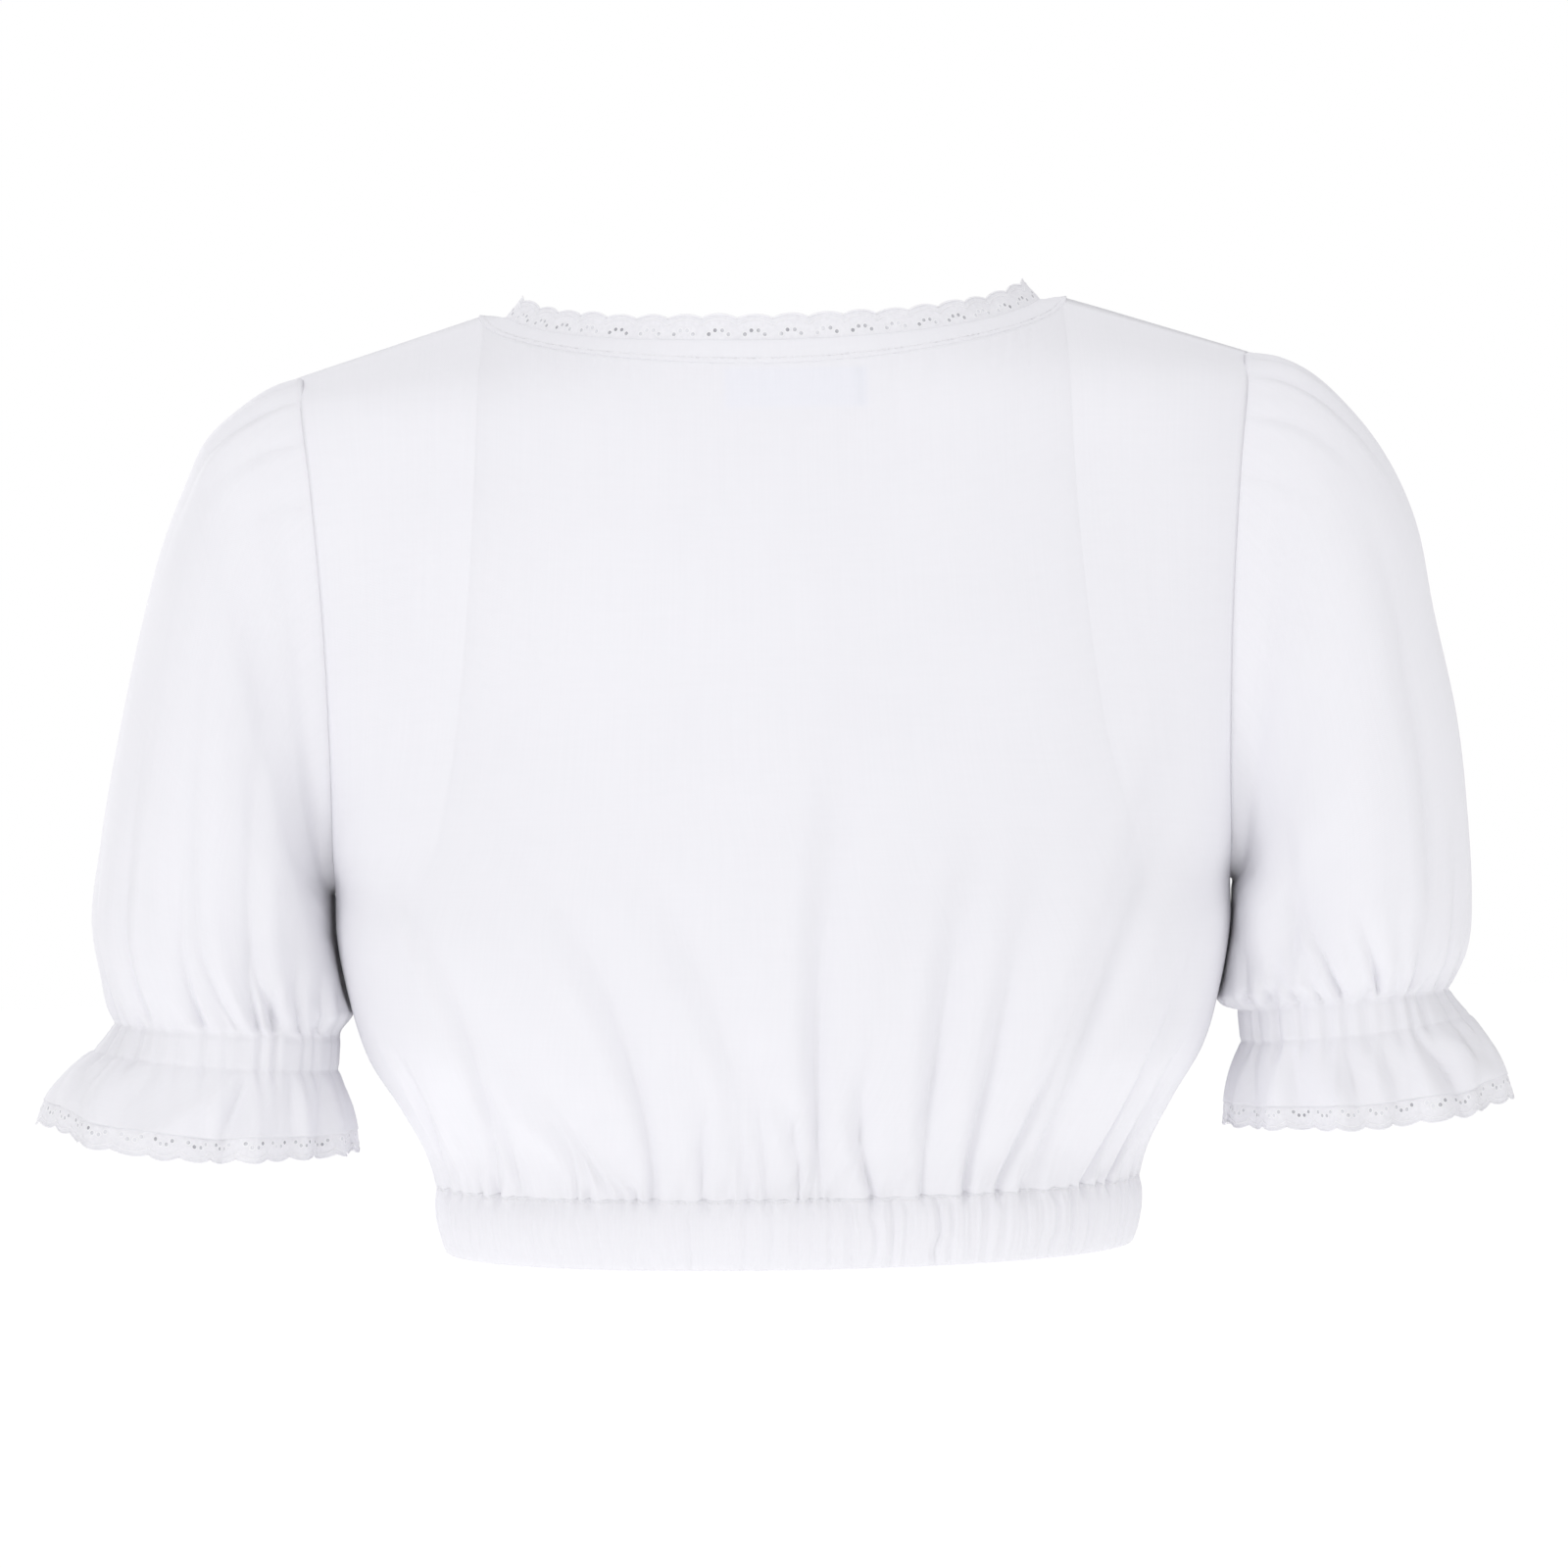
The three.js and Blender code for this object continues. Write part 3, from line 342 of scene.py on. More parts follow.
# pitch, depth and reach of the gathers, in millimetres
HEM_GATHERS_LONG, HEM_GATHERS_SHORT, NECK_GATHERS = (8.2, 2.3, 44), (5.1, 1.2, 11), (8.5, 0.6, 48)
SEAM_DIP, SEAM_DIP_WIDTH = 0.13, 1.6
# rounds of smoothing that level the rows under the scoop of the neck
LEVEL_ROUNDS = 240


def body_panel(half, neck_columns, rows):
    fine = np.linspace(-NECK_SHARE, NECK_SHARE, 801)
    line = body_form(half, fine, column_top(half, fine))
    length = run_along(line)
    neck = np.interp(np.linspace(0, length[-1], neck_columns + 1), length, fine)
    shoulder = np.linspace(1, NECK_SHARE, SHOULDER_COLUMNS + 1)[:-1]
    tops = np.concatenate([-shoulder, neck, shoulder[::-1]])
    evens = np.sin(math.pi * (np.linspace(0, 1, len(tops)) - 0.5))
    reach = column_top(half, tops)
    level = reach.copy()
    for _ in range(LEVEL_ROUNDS):
        level = np.convolve(np.pad(level, 1, mode="edge"), (0.25, 0.5, 0.25), mode="valid")
    share = np.linspace(0, 1, rows + 1)[:, None]
    share = lerp(share, share**1.6, 0.5)
    up = share * (1 - (1 - lerp(level, reach, share**5)) * share**2)
    across = body_columns(half, lerp(evens, tops, smoothstep(share, 0.15, 1)), up, share)
    plain = body_form(half, across, up)
    normal = outward(plain)
    hem_run = run_along(plain[0])
    along = np.broadcast_to(hem_run, across.shape)
    from_hem = plain[..., 2] - plain[0, :, 2]
    pressed = body_folds(half, plain, normal)
    pressed += gathers(along, from_hem, hem_run[-1], 11 + half, *HEM_GATHERS_LONG)
    pressed += gathers(along, from_hem, hem_run[-1], 71 + half, *HEM_GATHERS_SHORT)
    from_neck = np.linalg.norm(plain - plain[-1], axis=-1)
    neck_only = smoothstep(NECK_SHARE - np.abs(across), 0.02, 0.1)
    neck_along = np.linspace(0, 1, len(tops)) * length[-1] * len(tops) / neck_columns
    below_binding = np.maximum(from_neck - 1.5, 0)
    tight = gathers(neck_along + 0 * across, below_binding, neck_along[-1], 31 + half, *NECK_GATHERS)
    pressed += neck_only * smoothstep(from_neck, 0, 2.5) * tight
    u, v = (across + 1) / 2, plain[..., 2] / HEM_SEAM_Z
    calm = smoothstep(from_hem, 0, 30) * smoothstep(from_neck, 4, 40) * (1 - np.abs(across) ** 10)
    pressed += calm * (1.5 * ripple(u, v, (6, 4), 51 + half) + 0.6 * ripple(u, v, (13, 9), 61 + half))
    to_edges = (np.linalg.norm(plain - side_edge, axis=-1) for side_edge in (plain[:, :1], plain[:, -1:]))
    pressed += SEAM_DIP * np.exp(-((np.minimum(*to_edges) / SEAM_DIP_WIDTH) ** 2))
    grid = plain - normal * pressed[..., None]
    grid[..., 1] = half * np.maximum(half * grid[..., 1], 0.02)
    return lifted(grid), lifted(plain), normal


def lifted(grid):
    """The wearer's right shoulder is carried a little higher."""
    grid = grid.copy()
    grid[..., 2] += 3.8 * smoothstep(-grid[..., 0], 0, 140) * smoothstep(grid[..., 2], -250, -50)
    return grid


def select_only(piece):
    bpy.ops.object.select_all(action="DESELECT")
    piece.select_set(True)
    bpy.context.view_layer.objects.active = piece


def apply(piece, modifier):
    select_only(piece)
    bpy.ops.object.modifier_apply(modifier=modifier.name)


def vertices_of(piece):
    values = np.empty(len(piece.data.vertices) * 3)
    piece.data.vertices.foreach_get("co", values)
    return values.reshape(-1, 3)


def move_vertices(piece, places):
    piece.data.vertices.foreach_set("co", np.ascontiguousarray(places, dtype=float).ravel())
    piece.data.update()


# the cotton's thickness, and how close the vertices are that become one, in millimetres
CLOTH_THICKNESS, MERGE = 0.4, 0.02


def weld(piece, merge):
    """Joins the vertices that lie closer than merge, in millimetres, and turns all faces outwards."""
    select_only(piece)
    bpy.ops.object.mode_set(mode="EDIT")
    bpy.ops.mesh.select_all(action="SELECT")
    if merge:
        bpy.ops.mesh.remove_doubles(threshold=merge * MM)
    bpy.ops.mesh.normals_make_consistent(inside=False)
    bpy.ops.object.mode_set(mode="OBJECT")


def cloth_piece(name, grid, cut, node, material, thickness=CLOTH_THICKNESS, merge=MERGE):
    """A flat grid is moved into place point by point, closed where its edges meet, and given its thickness
    towards the inside. It stands for a solid; cut is its flat size in metres."""
    rows, columns = grid.shape[0] - 1, grid.shape[1] - 1
    bpy.ops.object.select_all(action="DESELECT")
    bpy.ops.mesh.primitive_grid_add(x_subdivisions=columns, y_subdivisions=rows, size=1)
    sheet = bpy.context.object
    sheet.name = name
    sheet.data.name = name
    start = vertices_of(sheet)
    column = np.rint((start[:, 0] + 0.5) * columns).astype(int)
    row = np.rint((start[:, 1] + 0.5) * rows).astype(int)
    move_vertices(sheet, grid[row, column] * MM)
    cloth_map = np.empty(len(sheet.data.loops) * 2)
    sheet.data.uv_layers[0].data.foreach_get("uv", cloth_map)
    sheet.data.uv_layers[0].data.foreach_set("uv", (cloth_map.reshape(-1, 2) * cut).ravel())
    weld(sheet, merge)
    wall = sheet.modifiers.new("wall", "SOLIDIFY")
    wall.thickness = thickness * MM
    wall.offset = -1
    apply(sheet, wall)
    bpy.ops.object.shade_smooth()
    sheet.data.materials.append(material)
    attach(sheet, "root")
    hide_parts(node)
    return sheet


def shader_group(name, inputs, outputs):
    """A node group with the given number inputs and the given outputs."""
    group = bpy.data.node_groups.new(name, "ShaderNodeTree")
    group.interface.new_socket("Vector", in_out="INPUT", socket_type="NodeSocketVector")
    for label in inputs:
        group.interface.new_socket(label, in_out="INPUT", socket_type="NodeSocketFloat")
    for label, kind in outputs:
        group.interface.new_socket(label, in_out="OUTPUT", socket_type=kind)
    return group, group.nodes.new("NodeGroupInput"), group.nodes.new("NodeGroupOutput")


def maths(tree, operation, *values):
    node = tree.nodes.new("ShaderNodeMath")
    node.operation = operation
    for socket, value in zip(node.inputs, values):
        if hasattr(value, "is_linked"):
            tree.links.new(value, socket)
        else:
            socket.default_value = value
    return node.outputs[0]


def weave_group():
    """Plain weave: threads over and under each other, with slubs where the yarn is uneven. Its tone carries
    painted shade: lighter on the threads' crowns, darker between them.
    """
    group, given, result = shader_group(
        "plain weave", ("Threads", "Slub"), (("Height", "NodeSocketFloat"), ("Tone", "NodeSocketFloat"))
    )
    apart = group.nodes.new("ShaderNodeSeparateXYZ")
    group.links.new(given.outputs["Vector"], apart.inputs[0])
    turn = maths(group, "MULTIPLY", given.outputs["Threads"], math.pi)
    across = maths(group, "SINE", maths(group, "MULTIPLY", apart.outputs[0], turn))
    up = maths(group, "SINE", maths(group, "MULTIPLY", apart.outputs[1], turn))
    over = maths(group, "MULTIPLY", across, up)
    rib = maths(group, "MULTIPLY", maths(group, "ABSOLUTE", across), maths(group, "ABSOLUTE", up))
    threads = maths(group, "MULTIPLY_ADD", over, 0.35, maths(group, "MULTIPLY", rib, 0.65))
    slubs = []
    for stretch in ((900, 26, 1), (30, 760, 1)):
        placed = group.nodes.new("ShaderNodeVectorMath")
        placed.operation = "MULTIPLY"
        placed.inputs[1].default_value = stretch
        group.links.new(given.outputs["Vector"], placed.inputs[0])
        noise = group.nodes.new("ShaderNodeTexNoise")
        noise.inputs["Scale"].default_value = 1
        noise.inputs["Detail"].default_value = 2
        group.links.new(placed.outputs[0], noise.inputs["Vector"])
        slubs.append(maths(group, "SUBTRACT", noise.outputs["Fac"], 0.5))
    both_slubs = maths(group, "ADD", slubs[0], maths(group, "MULTIPLY", slubs[1], 0.6))
    uneven = maths(group, "MULTIPLY", both_slubs, given.outputs["Slub"])
    group.links.new(maths(group, "ADD", threads, uneven), result.inputs["Height"])
    # painted shade of the weave: the threads' crowns lighter, the gaps between them darker
    rib_painted_shade = maths(group, "MULTIPLY_ADD", rib, 0.05, 0.5)
    group.links.new(maths(group, "MULTIPLY_ADD", uneven, 0.5, rib_painted_shade), result.inputs["Tone"])
    return group


plain_weave = weave_group()


def cloth_material(name, shade, lit, threads, slub, relief, sheen, cloudy=9, clouds=0.5):
    """Woven cloth, from the piece's own UV map in metres; shade and lit are the ends of its colour."""
    material = bpy.data.materials.new(name)
    material.use_nodes = True
    tree = material.node_tree
    shader = tree.nodes["Principled BSDF"]
    shader.inputs["Roughness"].default_value = 0.88
    shader.inputs["Specular IOR Level"].default_value = 0.25
    shader.inputs["Sheen Weight"].default_value = sheen
    shader.inputs["Sheen Roughness"].default_value = 0.5
    own = tree.nodes.new("ShaderNodeUVMap")
    weave = tree.nodes.new("ShaderNodeGroup")
    weave.node_tree = plain_weave
    weave.inputs["Threads"].default_value = threads
    weave.inputs["Slub"].default_value = slub
    tree.links.new(own.outputs[0], weave.inputs["Vector"])
    place = tree.nodes.new("ShaderNodeTexCoord")
    cloud = tree.nodes.new("ShaderNodeTexNoise")
    cloud.inputs["Scale"].default_value = cloudy
    cloud.inputs["Detail"].default_value = 3
    tree.links.new(place.outputs["Object"], cloud.inputs["Vector"])
    cloudiness = maths(tree, "SUBTRACT", cloud.outputs["Fac"], 0.5)
    tone = maths(tree, "MULTIPLY_ADD", cloudiness, clouds, weave.outputs["Tone"])
    colour = tree.nodes.new("ShaderNodeValToRGB")
    colour.color_ramp.elements[0].color = (*shade, 1)
    colour.color_ramp.elements[1].color = (*lit, 1)
    tree.links.new(tone, colour.inputs["Fac"])
    tree.links.new(colour.outputs["Color"], shader.inputs["Base Color"])
    bump = tree.nodes.new("ShaderNodeBump")
    bump.inputs["Strength"].default_value = relief
    bump.inputs["Distance"].default_value = 0.00008
    tree.links.new(weave.outputs["Height"], bump.inputs["Height"])
    tree.links.new(bump.outputs["Normal"], shader.inputs["Normal"])
    return material


# how soft the edge of the tint is, in metres
BLUR = 0.002


def tint_show_through_and_shade(material, low, high, tint):
    """Tints a material inside a box, seen from the back, where something lies behind the cloth: paler for the
    label itself, darker for the painted shade of its turned end.
    """
    tree = material.node_tree
    base_colour = tree.nodes["Principled BSDF"].inputs["Base Color"]
    place = tree.nodes.new("ShaderNodeTexCoord")
    apart = tree.nodes.new("ShaderNodeSeparateXYZ")
    tree.links.new(place.outputs["Object"], apart.inputs[0])
    shares = []
    for axis in (0, 2):
        middle, half_width = (low[axis] + high[axis]) / 2, (high[axis] - low[axis]) / 2
        off = maths(tree, "ABSOLUTE", maths(tree, "SUBTRACT", apart.outputs[axis], middle))
        fade = tree.nodes.new("ShaderNodeMapRange")
        fade.interpolation_type = "SMOOTHSTEP"
        fade.inputs["From Min"].default_value = half_width + BLUR
        fade.inputs["From Max"].default_value = half_width - BLUR
        tree.links.new(off, fade.inputs["Value"])
        shares.append(fade.outputs["Result"])
    tinted = tree.nodes.new("ShaderNodeMix")
    tinted.data_type = "RGBA"
    tinted.blend_type = "MULTIPLY"
    tinted.inputs["B"].default_value = (*tint, 1)
    tree.links.new(maths(tree, "MULTIPLY", *shares), tinted.inputs["Factor"])
    tree.links.new(base_colour.links[0].from_socket, tinted.inputs["A"])
    tree.links.new(tinted.outputs["Result"], base_colour)


COTTON = (0.775, 0.77, 0.81), (0.855, 0.85, 0.89), 3200, 0.6, 0.5, 0.12
cotton = cloth_material("white cotton", *COTTON)
back_cotton = cloth_material("white cotton over the label", *COTTON)
LABEL_TINT, TURNED_END_PAINTED_SHADE = (0.989, 0.997, 1.015), (0.965, 0.97, 0.97)
TURNED_END = (0.001, 0.005)
label_low, label_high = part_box("neck_label")
tint_show_through_and_shade(back_cotton, label_low, label_high, LABEL_TINT)
# the turned end of the label is double; its soft shade is painted into the cloth's colour
turned_low = (label_low[0] + TURNED_END[0], 0, label_low[2])
turned_high = (label_low[0] + TURNED_END[1], 0, label_high[2])
tint_show_through_and_shade(back_cotton, turned_low, turned_high, TURNED_END_PAINTED_SHADE)

panels = {}
# half, name, flat size, columns along the neck, rows, material
for half, name, cut, neck_columns, rows, material in (
    (BACK, "back", (0.53, 0.40), 196, 168, back_cotton),
    (FRONT, "front", (0.56, 0.42), 150, 124, cotton),
):
    panels[half] = body_panel(half, neck_columns, rows)
    panel = cloth_piece(f"{name}_panel", panels[half][0], cut, name, material, merge=0)

# Sleeves: each one piece of the same cotton, eased into the armhole at its head, gathered onto elastic in a
# stitched channel above the elbow, and left full below it as a ruffle.
SIGN = {"left": 1, "right": -1}
SLEEVE_SEED = {"left": 101, "right": 211}
# middle x, top z, radius, and how far the ruffle turns out away from the body
CUFFS = {"left": (229.0, -295.0, 46.2, 62), "right": (229.0, -290.0, 43.4, 45)}
CUFF_TILT = math.radians(4.5)
CUFF_CHANNEL = 14.5
CHANNEL_STITCHES = (0.7, CUFF_CHANNEL - 0.7)
# away from the body the channel leans out with the ruffle
CHANNEL_LEAN = 8.0
RUFFLE_TURN, RUFFLE_TURN_INSIDE = 22, 30
CUFF_GATHERS, CUFF_GATHER_DEPTH, CUFF_GATHER_REACH = 28, 2.4, 34
CUFF_LENGTH = 282.0
RUFFLE_LENGTH = 29.0
SEAM_GAP = 0.3
LACE_WIDTH = 12.0
RUFFLE_TOTAL = RUFFLE_LENGTH + SEAM_GAP + LACE_WIDTH
# left x, right x, top z, under x, under z, half width
SLEEVE_SECTIONS = (
    (204, 208, -31, 185.6, -242.5, 51),
    (216.5, 222, -38, 186.4, -246, 54),
    (232.5, 236.5, -52, 187, -250, 58),
    (242, 250.5, -72, 187.3, -254, 60.5),
    (252, 261.5, -98, 187.4, -258, 61.5),
    (261.8, 269, -134, 187.2, -262.5, 61.5),
    (271.8, 277.5, -176, 186.8, -267.5, 60.5),
    (280.4, 281.3, -217, 186, -273.5, 58.5),
    (284.8, 282, -248, 185.3, -280, 56),
    (281.6, 279.4, -271, 184.4, -288, 51.5),
)
# heights between which the sleeve comes to lie against the body
ELASTIC_HOLDS = (-298, -288)
UNDERARM_FREES = (UNDERARM[1] + 6, UNDERARM[1] - 5)
BODY_SIDE_Z = [section[3] for section in BODY_SECTIONS[:UNDERARM_SECTION]] + [UNDERARM[1]]
BODY_SIDE_X = [section[0] for section in BODY_SECTIONS[:UNDERARM_SECTION]] + [UNDERARM[0]]
# foot, head: angles from the top of the arm towards the back; from, to: share of the way from the armhole to
# the channel; depth in millimetres; width in degrees
HEAD_PLEATS = (
    (14, 9, 0, 0.3, 1.3, 3.0), (27, 20, 0, 0.5, 2.0, 3.6), (44, 38, 0, 0.36, 1.6, 3.0),
    (61, 58, 0, 0.3, 1.0, 3.2), (-8, -6, 0, 0.34, 1.4, 3.2), (-24, -18, 0, 0.46, 1.8, 3.4),
    (-41, -36, 0, 0.36, 1.4, 3.2), (-60, -57, 0, 0.3, 1.0, 3.2),
)
SLEEVE_FOLDS = {
    "left": HEAD_PLEATS + (
        (124, 92, 0.98, 0.1, 4.2, 11), (101, 62, 0.98, 0.3, 2.6, 8), (54, 42, 0.985, 0.5, 2.8, 5.5),
        (84, 78, 0.985, 0.62, 3.0, 4.8), (112, 116, 0.985, 0.66, 3.0, 4.2),
        (121, 130, 0.985, 0.74, 2.6, 3.8), (136, 142, 0.985, 0.6, 3.2, 5), (150, 156, 0.985, 0.66, 3.0, 5),
        (-46, -38, 0.985, 0.5, 3.0, 6), (-84, -70, 0.985, 0.42, 3.4, 7),
        (-118, -108, 0.985, 0.6, 3.0, 5.5), (-148, -140, 0.985, 0.55, 3.0, 6),
        (22, 12, 0.985, 0.66, 2.4, 5), (-14, -10, 0.985, 0.7, 2.4, 5),
    ),
    "right": HEAD_PLEATS + (
        (128, 130, 0.9, 0.02, 7.0, 18), (97, 132, 0.985, 0.6, 4.2, 3.6), (77, 99, 0.985, 0.7, 3.6, 3.2),
        (108, 122, 0.985, 0.84, 2.6, 3.0), (38, 36, 0.985, 0.66, 2.8, 4.4),
        (58, 62, 0.985, 0.78, 2.2, 3.8), (121, 140, 0.985, 0.8, 2.8, 3.4),
        (137, 150, 0.985, 0.72, 2.8, 4.4), (152, 158, 0.985, 0.6, 3.0, 5), (18, 8, 0.985, 0.48, 2.6, 6),
        (-20, -14, 0.985, 0.6, 2.6, 5.5), (-56, -46, 0.985, 0.46, 3.2, 6.5),
        (-92, -80, 0.985, 0.54, 3.2, 6), (-126, -116, 0.985, 0.5, 3.2, 6), (58, 48, 0.9, 0.12, 2.6, 9),
    ),
}
# top, bottom: angles at the channel and at the ruffle's edge; depth in millimetres; width in degrees
RUFFLE_FOLDS = {
    "left": (
        (107, 96, 6.5, 6), (91, 84, 2.6, 4.5), (130, 128, 3.0, 4.5), (152, 146, 4.6, 6), (60, 50, 3.4, 7),
        (34, 28, 3.6, 8), (8, 4, 3.0, 8), (-22, -26, 4.4, 7), (-58, -52, 3.2, 6), (-84, -92, 5.2, 7),
        (-118, -124, 4.0, 6), (-150, -146, 3.2, 6),
    ),
    "right": (
        (58, 46, 6.5, 6), (34, 28, 3.0, 6), (97, 92, 3.0, 4.5), (126, 122, 4.2, 6), (152, 150, 3.6, 6),
        (78, 72, 2.2, 5), (4, -2, 3.4, 8), (-30, -34, 4.6, 7), (-62, -58, 3.2, 6), (-94, -102, 5.0, 7),
        (-128, -132, 3.6, 6), (-156, -152, 3.0, 6),
    ),
}


def cuff_form(cuff, angle, down):
    """The cuff from the channel's top edge down through ruffle and lace."""
    to_body = (1 - np.cos(angle)) / 2
    out_side = np.maximum(np.cos(angle), 0) ** 2
    in_side = np.maximum(-np.cos(angle), 0) ** 2
    turned_out = (CUFFS[cuff][3] - RUFFLE_TURN) * out_side
    turn = np.radians(RUFFLE_TURN + turned_out + (RUFFLE_TURN_INSIDE - RUFFLE_TURN) * in_side)
    in_channel = np.minimum(down, CUFF_CHANNEL)
    lean = CHANNEL_LEAN * out_side * (in_channel / CUFF_CHANNEL) ** 1.3
    share = np.maximum(0, down - CUFF_CHANNEL) / RUFFLE_TOTAL
    length = RUFFLE_TOTAL - 5 * to_body**2
    out = length * (np.cos(turn * (1 - share)) - np.cos(turn)) / turn
    fallen = length * (np.sin(turn) - np.sin(turn * (1 - share))) / turn
    uneven = 1 + 0.35 * np.sin(2 * angle + 0.6)
    wave = 3.6 * share * uneven * np.cos(7 * angle + 0.9)
    radius = CUFFS[cuff][2] + lean + out + wave * (1 - 0.5 * to_body)
    below = in_channel * (1 - 0.16 * out_side) + fallen
    x = CUFFS[cuff][0] + math.sin(CUFF_TILT) * below + math.cos(CUFF_TILT) * radius * np.cos(angle)
    z = CUFFS[cuff][1] - math.cos(CUFF_TILT) * below + math.sin(CUFF_TILT) * radius * np.cos(angle)
    return point(x, radius * np.sin(angle), z)


def sleeve_form(side, angle, way):
    in_back = (np.sin(angle) >= 0)[..., None]
    armhole = np.where(in_back, *(armhole_point(np.abs(angle), half) for half in (BACK, FRONT)))
    armhole[..., 0] += 0.1
    columns = [armhole]
    for number, (left_x, right_x, top_z, under_x, under_z, half_width) in enumerate(SLEEVE_SECTIONS):
        under = (1 - np.cos(angle)) / 2
        x = lerp(left_x if side == "left" else right_x, under_x, under)
        # towards the body the sleeve is fuller than round
        fuller = np.maximum(np.abs(np.sin(angle)), 1e-6) ** (-0.3 * under * min(1, number / 5))
        columns.append(point(x, half_width * np.sin(angle) * fuller, lerp(top_z, under_z, under)))
    columns.append(cuff_form(side, angle, 0 * angle))
    place = spline(np.stack(columns), way)
    # under the arm the full sleeve lies against the body as far down as the elastic lets it
    body_side = np.interp(place[..., 2], BODY_SIDE_Z, BODY_SIDE_X) + 0.7
    lying = smoothstep(place[..., 2], *ELASTIC_HOLDS) * smoothstep(place[..., 2], *UNDERARM_FREES)
    place[..., 0] -= np.maximum(place[..., 0] - body_side, 0) * lying * np.maximum(-np.cos(angle), 0) ** 10
    return place


def sleeve_folds(side, angle, way):
    """How far the long folds press the sleeve in, in millimetres."""
    degrees = np.degrees(angle)
    pressed = np.zeros(angle.shape)
    for foot, head, start, end, depth, width in SLEEVE_FOLDS[side]:
        gone = (way - start) / (end - start)
        on_it = np.clip(gone, 0, 1)
        centre = foot + (head - foot) * on_it
        off = (degrees - centre) / (width * (0.55 + 0.9 * on_it))
        begins = smoothstep(gone, -0.03, 0.03 if start > 0.95 else 0.3)
        strength = depth * (0.75 + 1.6 * on_it) * (1 - on_it) ** 1.4 * begins
        pressed += 0.7 * strength * crease(off, 0.6 * (1 - on_it) ** 1.2)
    return pressed


def ruffle_folds(side, angle, share):
    """How far the pleats press the ruffle in; share runs from the channel to the ruffle's edge."""
    degrees = np.degrees(angle)
    pressed = np.zeros(angle.shape)
    for top, bottom, depth, width in RUFFLE_FOLDS[side]:
        off = (degrees - lerp(top, bottom, share)) / (width * (0.5 + 1.0 * share))
        pressed += 1.2 * depth * share * crease(off, 0.4 * (1 - share) * smoothstep(share, 0, 0.3))
    return pressed


def cuff_gathers(side, angle, away):
    along = (angle / (2 * math.pi) + 0.5) * CUFF_LENGTH
    pitch = CUFF_LENGTH / CUFF_GATHERS
    return gathers(along, away, CUFF_LENGTH, SLEEVE_SEED[side], pitch, CUFF_GATHER_DEPTH, CUFF_GATHER_REACH)


def sleeve_columns(side, columns, way, share):
    """The columns' angles on each row, drawn together along the folds."""
    fine = np.linspace(-180, 180, 1441)[None]
    crowd = np.ones((len(way), fine.shape[1]))
    for foot, head, start, end, _, width in SLEEVE_FOLDS[side]:
        on_it = np.clip((way - start) / (end - start), 0, 1)
        near = np.exp(-(((fine - lerp(foot, head, on_it)) / (0.45 * width)) ** 2))
        crowd += 3 * (1 - on_it) * (1 - smoothstep(share, 0, 1)) * near
    evenly = np.broadcast_to(np.linspace(-180, 180, columns + 1)[:-1], (len(way), columns))
    return np.radians(crowded(crowd, evenly, (-180, 180)))


def sleeve_grid(side, columns, upper_rows, lower_rows):
    upper = np.linspace(0, 1, upper_rows + 1)
    upper = lerp(upper, 1 - (1 - upper) ** 1.5, 0.6)
    lower = np.linspace(0, CUFF_CHANNEL + RUFFLE_LENGTH, lower_rows + 1)[1:]
    way = np.concatenate([upper, np.ones(lower_rows)])[:, None]
    down = np.concatenate([np.zeros(upper_rows + 1), lower])[:, None]
    angle = sleeve_columns(side, columns, way, np.maximum(down - CUFF_CHANNEL, 0) / RUFFLE_LENGTH)
    angle, way, down = np.broadcast_arrays(angle, way, down)
    plain = np.where((down > 0)[..., None], cuff_form(side, angle, down), sleeve_form(side, angle, way))
    normal = outward(plain, closed=True)
    seed = SLEEVE_SEED[side]
    in_sleeve, in_cuff = down <= 0, down > 0
    above = np.where(in_cuff, 0, np.linalg.norm(plain - plain[upper_rows], axis=-1))
    below = np.maximum(down - CUFF_CHANNEL, 0)
    pressed = sleeve_folds(side, angle, way) * in_sleeve
    below_stitches = 0.75 * np.exp(-((below / 7) ** 2)) + 0.1
    pressed += np.where(in_cuff, cuff_gathers(side, angle, 0 * above) * below_stitches, 0)
    pressed += np.where(in_sleeve, cuff_gathers(side, angle, above), 0)
    pressed += ruffle_folds(side, angle, below / RUFFLE_LENGTH) * in_cuff
    for row_at in CHANNEL_STITCHES:
        pressed += 0.4 * np.exp(-(((down - row_at) / 1.1) ** 2)) * in_cuff
    pressed += 0.4 * np.exp(-((above / 1.3) ** 2)) * in_sleeve
    u, v = angle / (2 * math.pi) + 0.5, way
    calm = smoothstep(way, 0, 0.1) * smoothstep(way, 1, 0.85) * (1 - np.abs(angle / math.pi) ** 12)
    pressed += calm * (1.4 * ripple(u, v, (7, 4), seed + 1) + 0.6 * ripple(u, v, (15, 9), seed + 2))
    seam = np.linalg.norm(plain - plain[:1], axis=-1)
    pressed += 0.3 * np.exp(-((seam / 3.0) ** 2)) * in_sleeve
    grid = plain - normal * pressed[..., None]
    allowance = plain[:1] - [2.2, 0, 0] - normal[:1] * [0, 1.2, 1.2]
    grid[0] = plain[0] - [0.1, 0, 0] - normal[0] * [0, 0.15, 0.15]
    grid = np.concatenate([allowance, grid])
    grid = np.concatenate([grid, grid[:, :1]], axis=1)
    if side == "right":
        grid = (grid * [-1, 1, 1])[:, ::-1]
    return lifted(grid)


SLEEVE_CUT, SLEEVE_FILL = (0.40, 0.36), 0.80
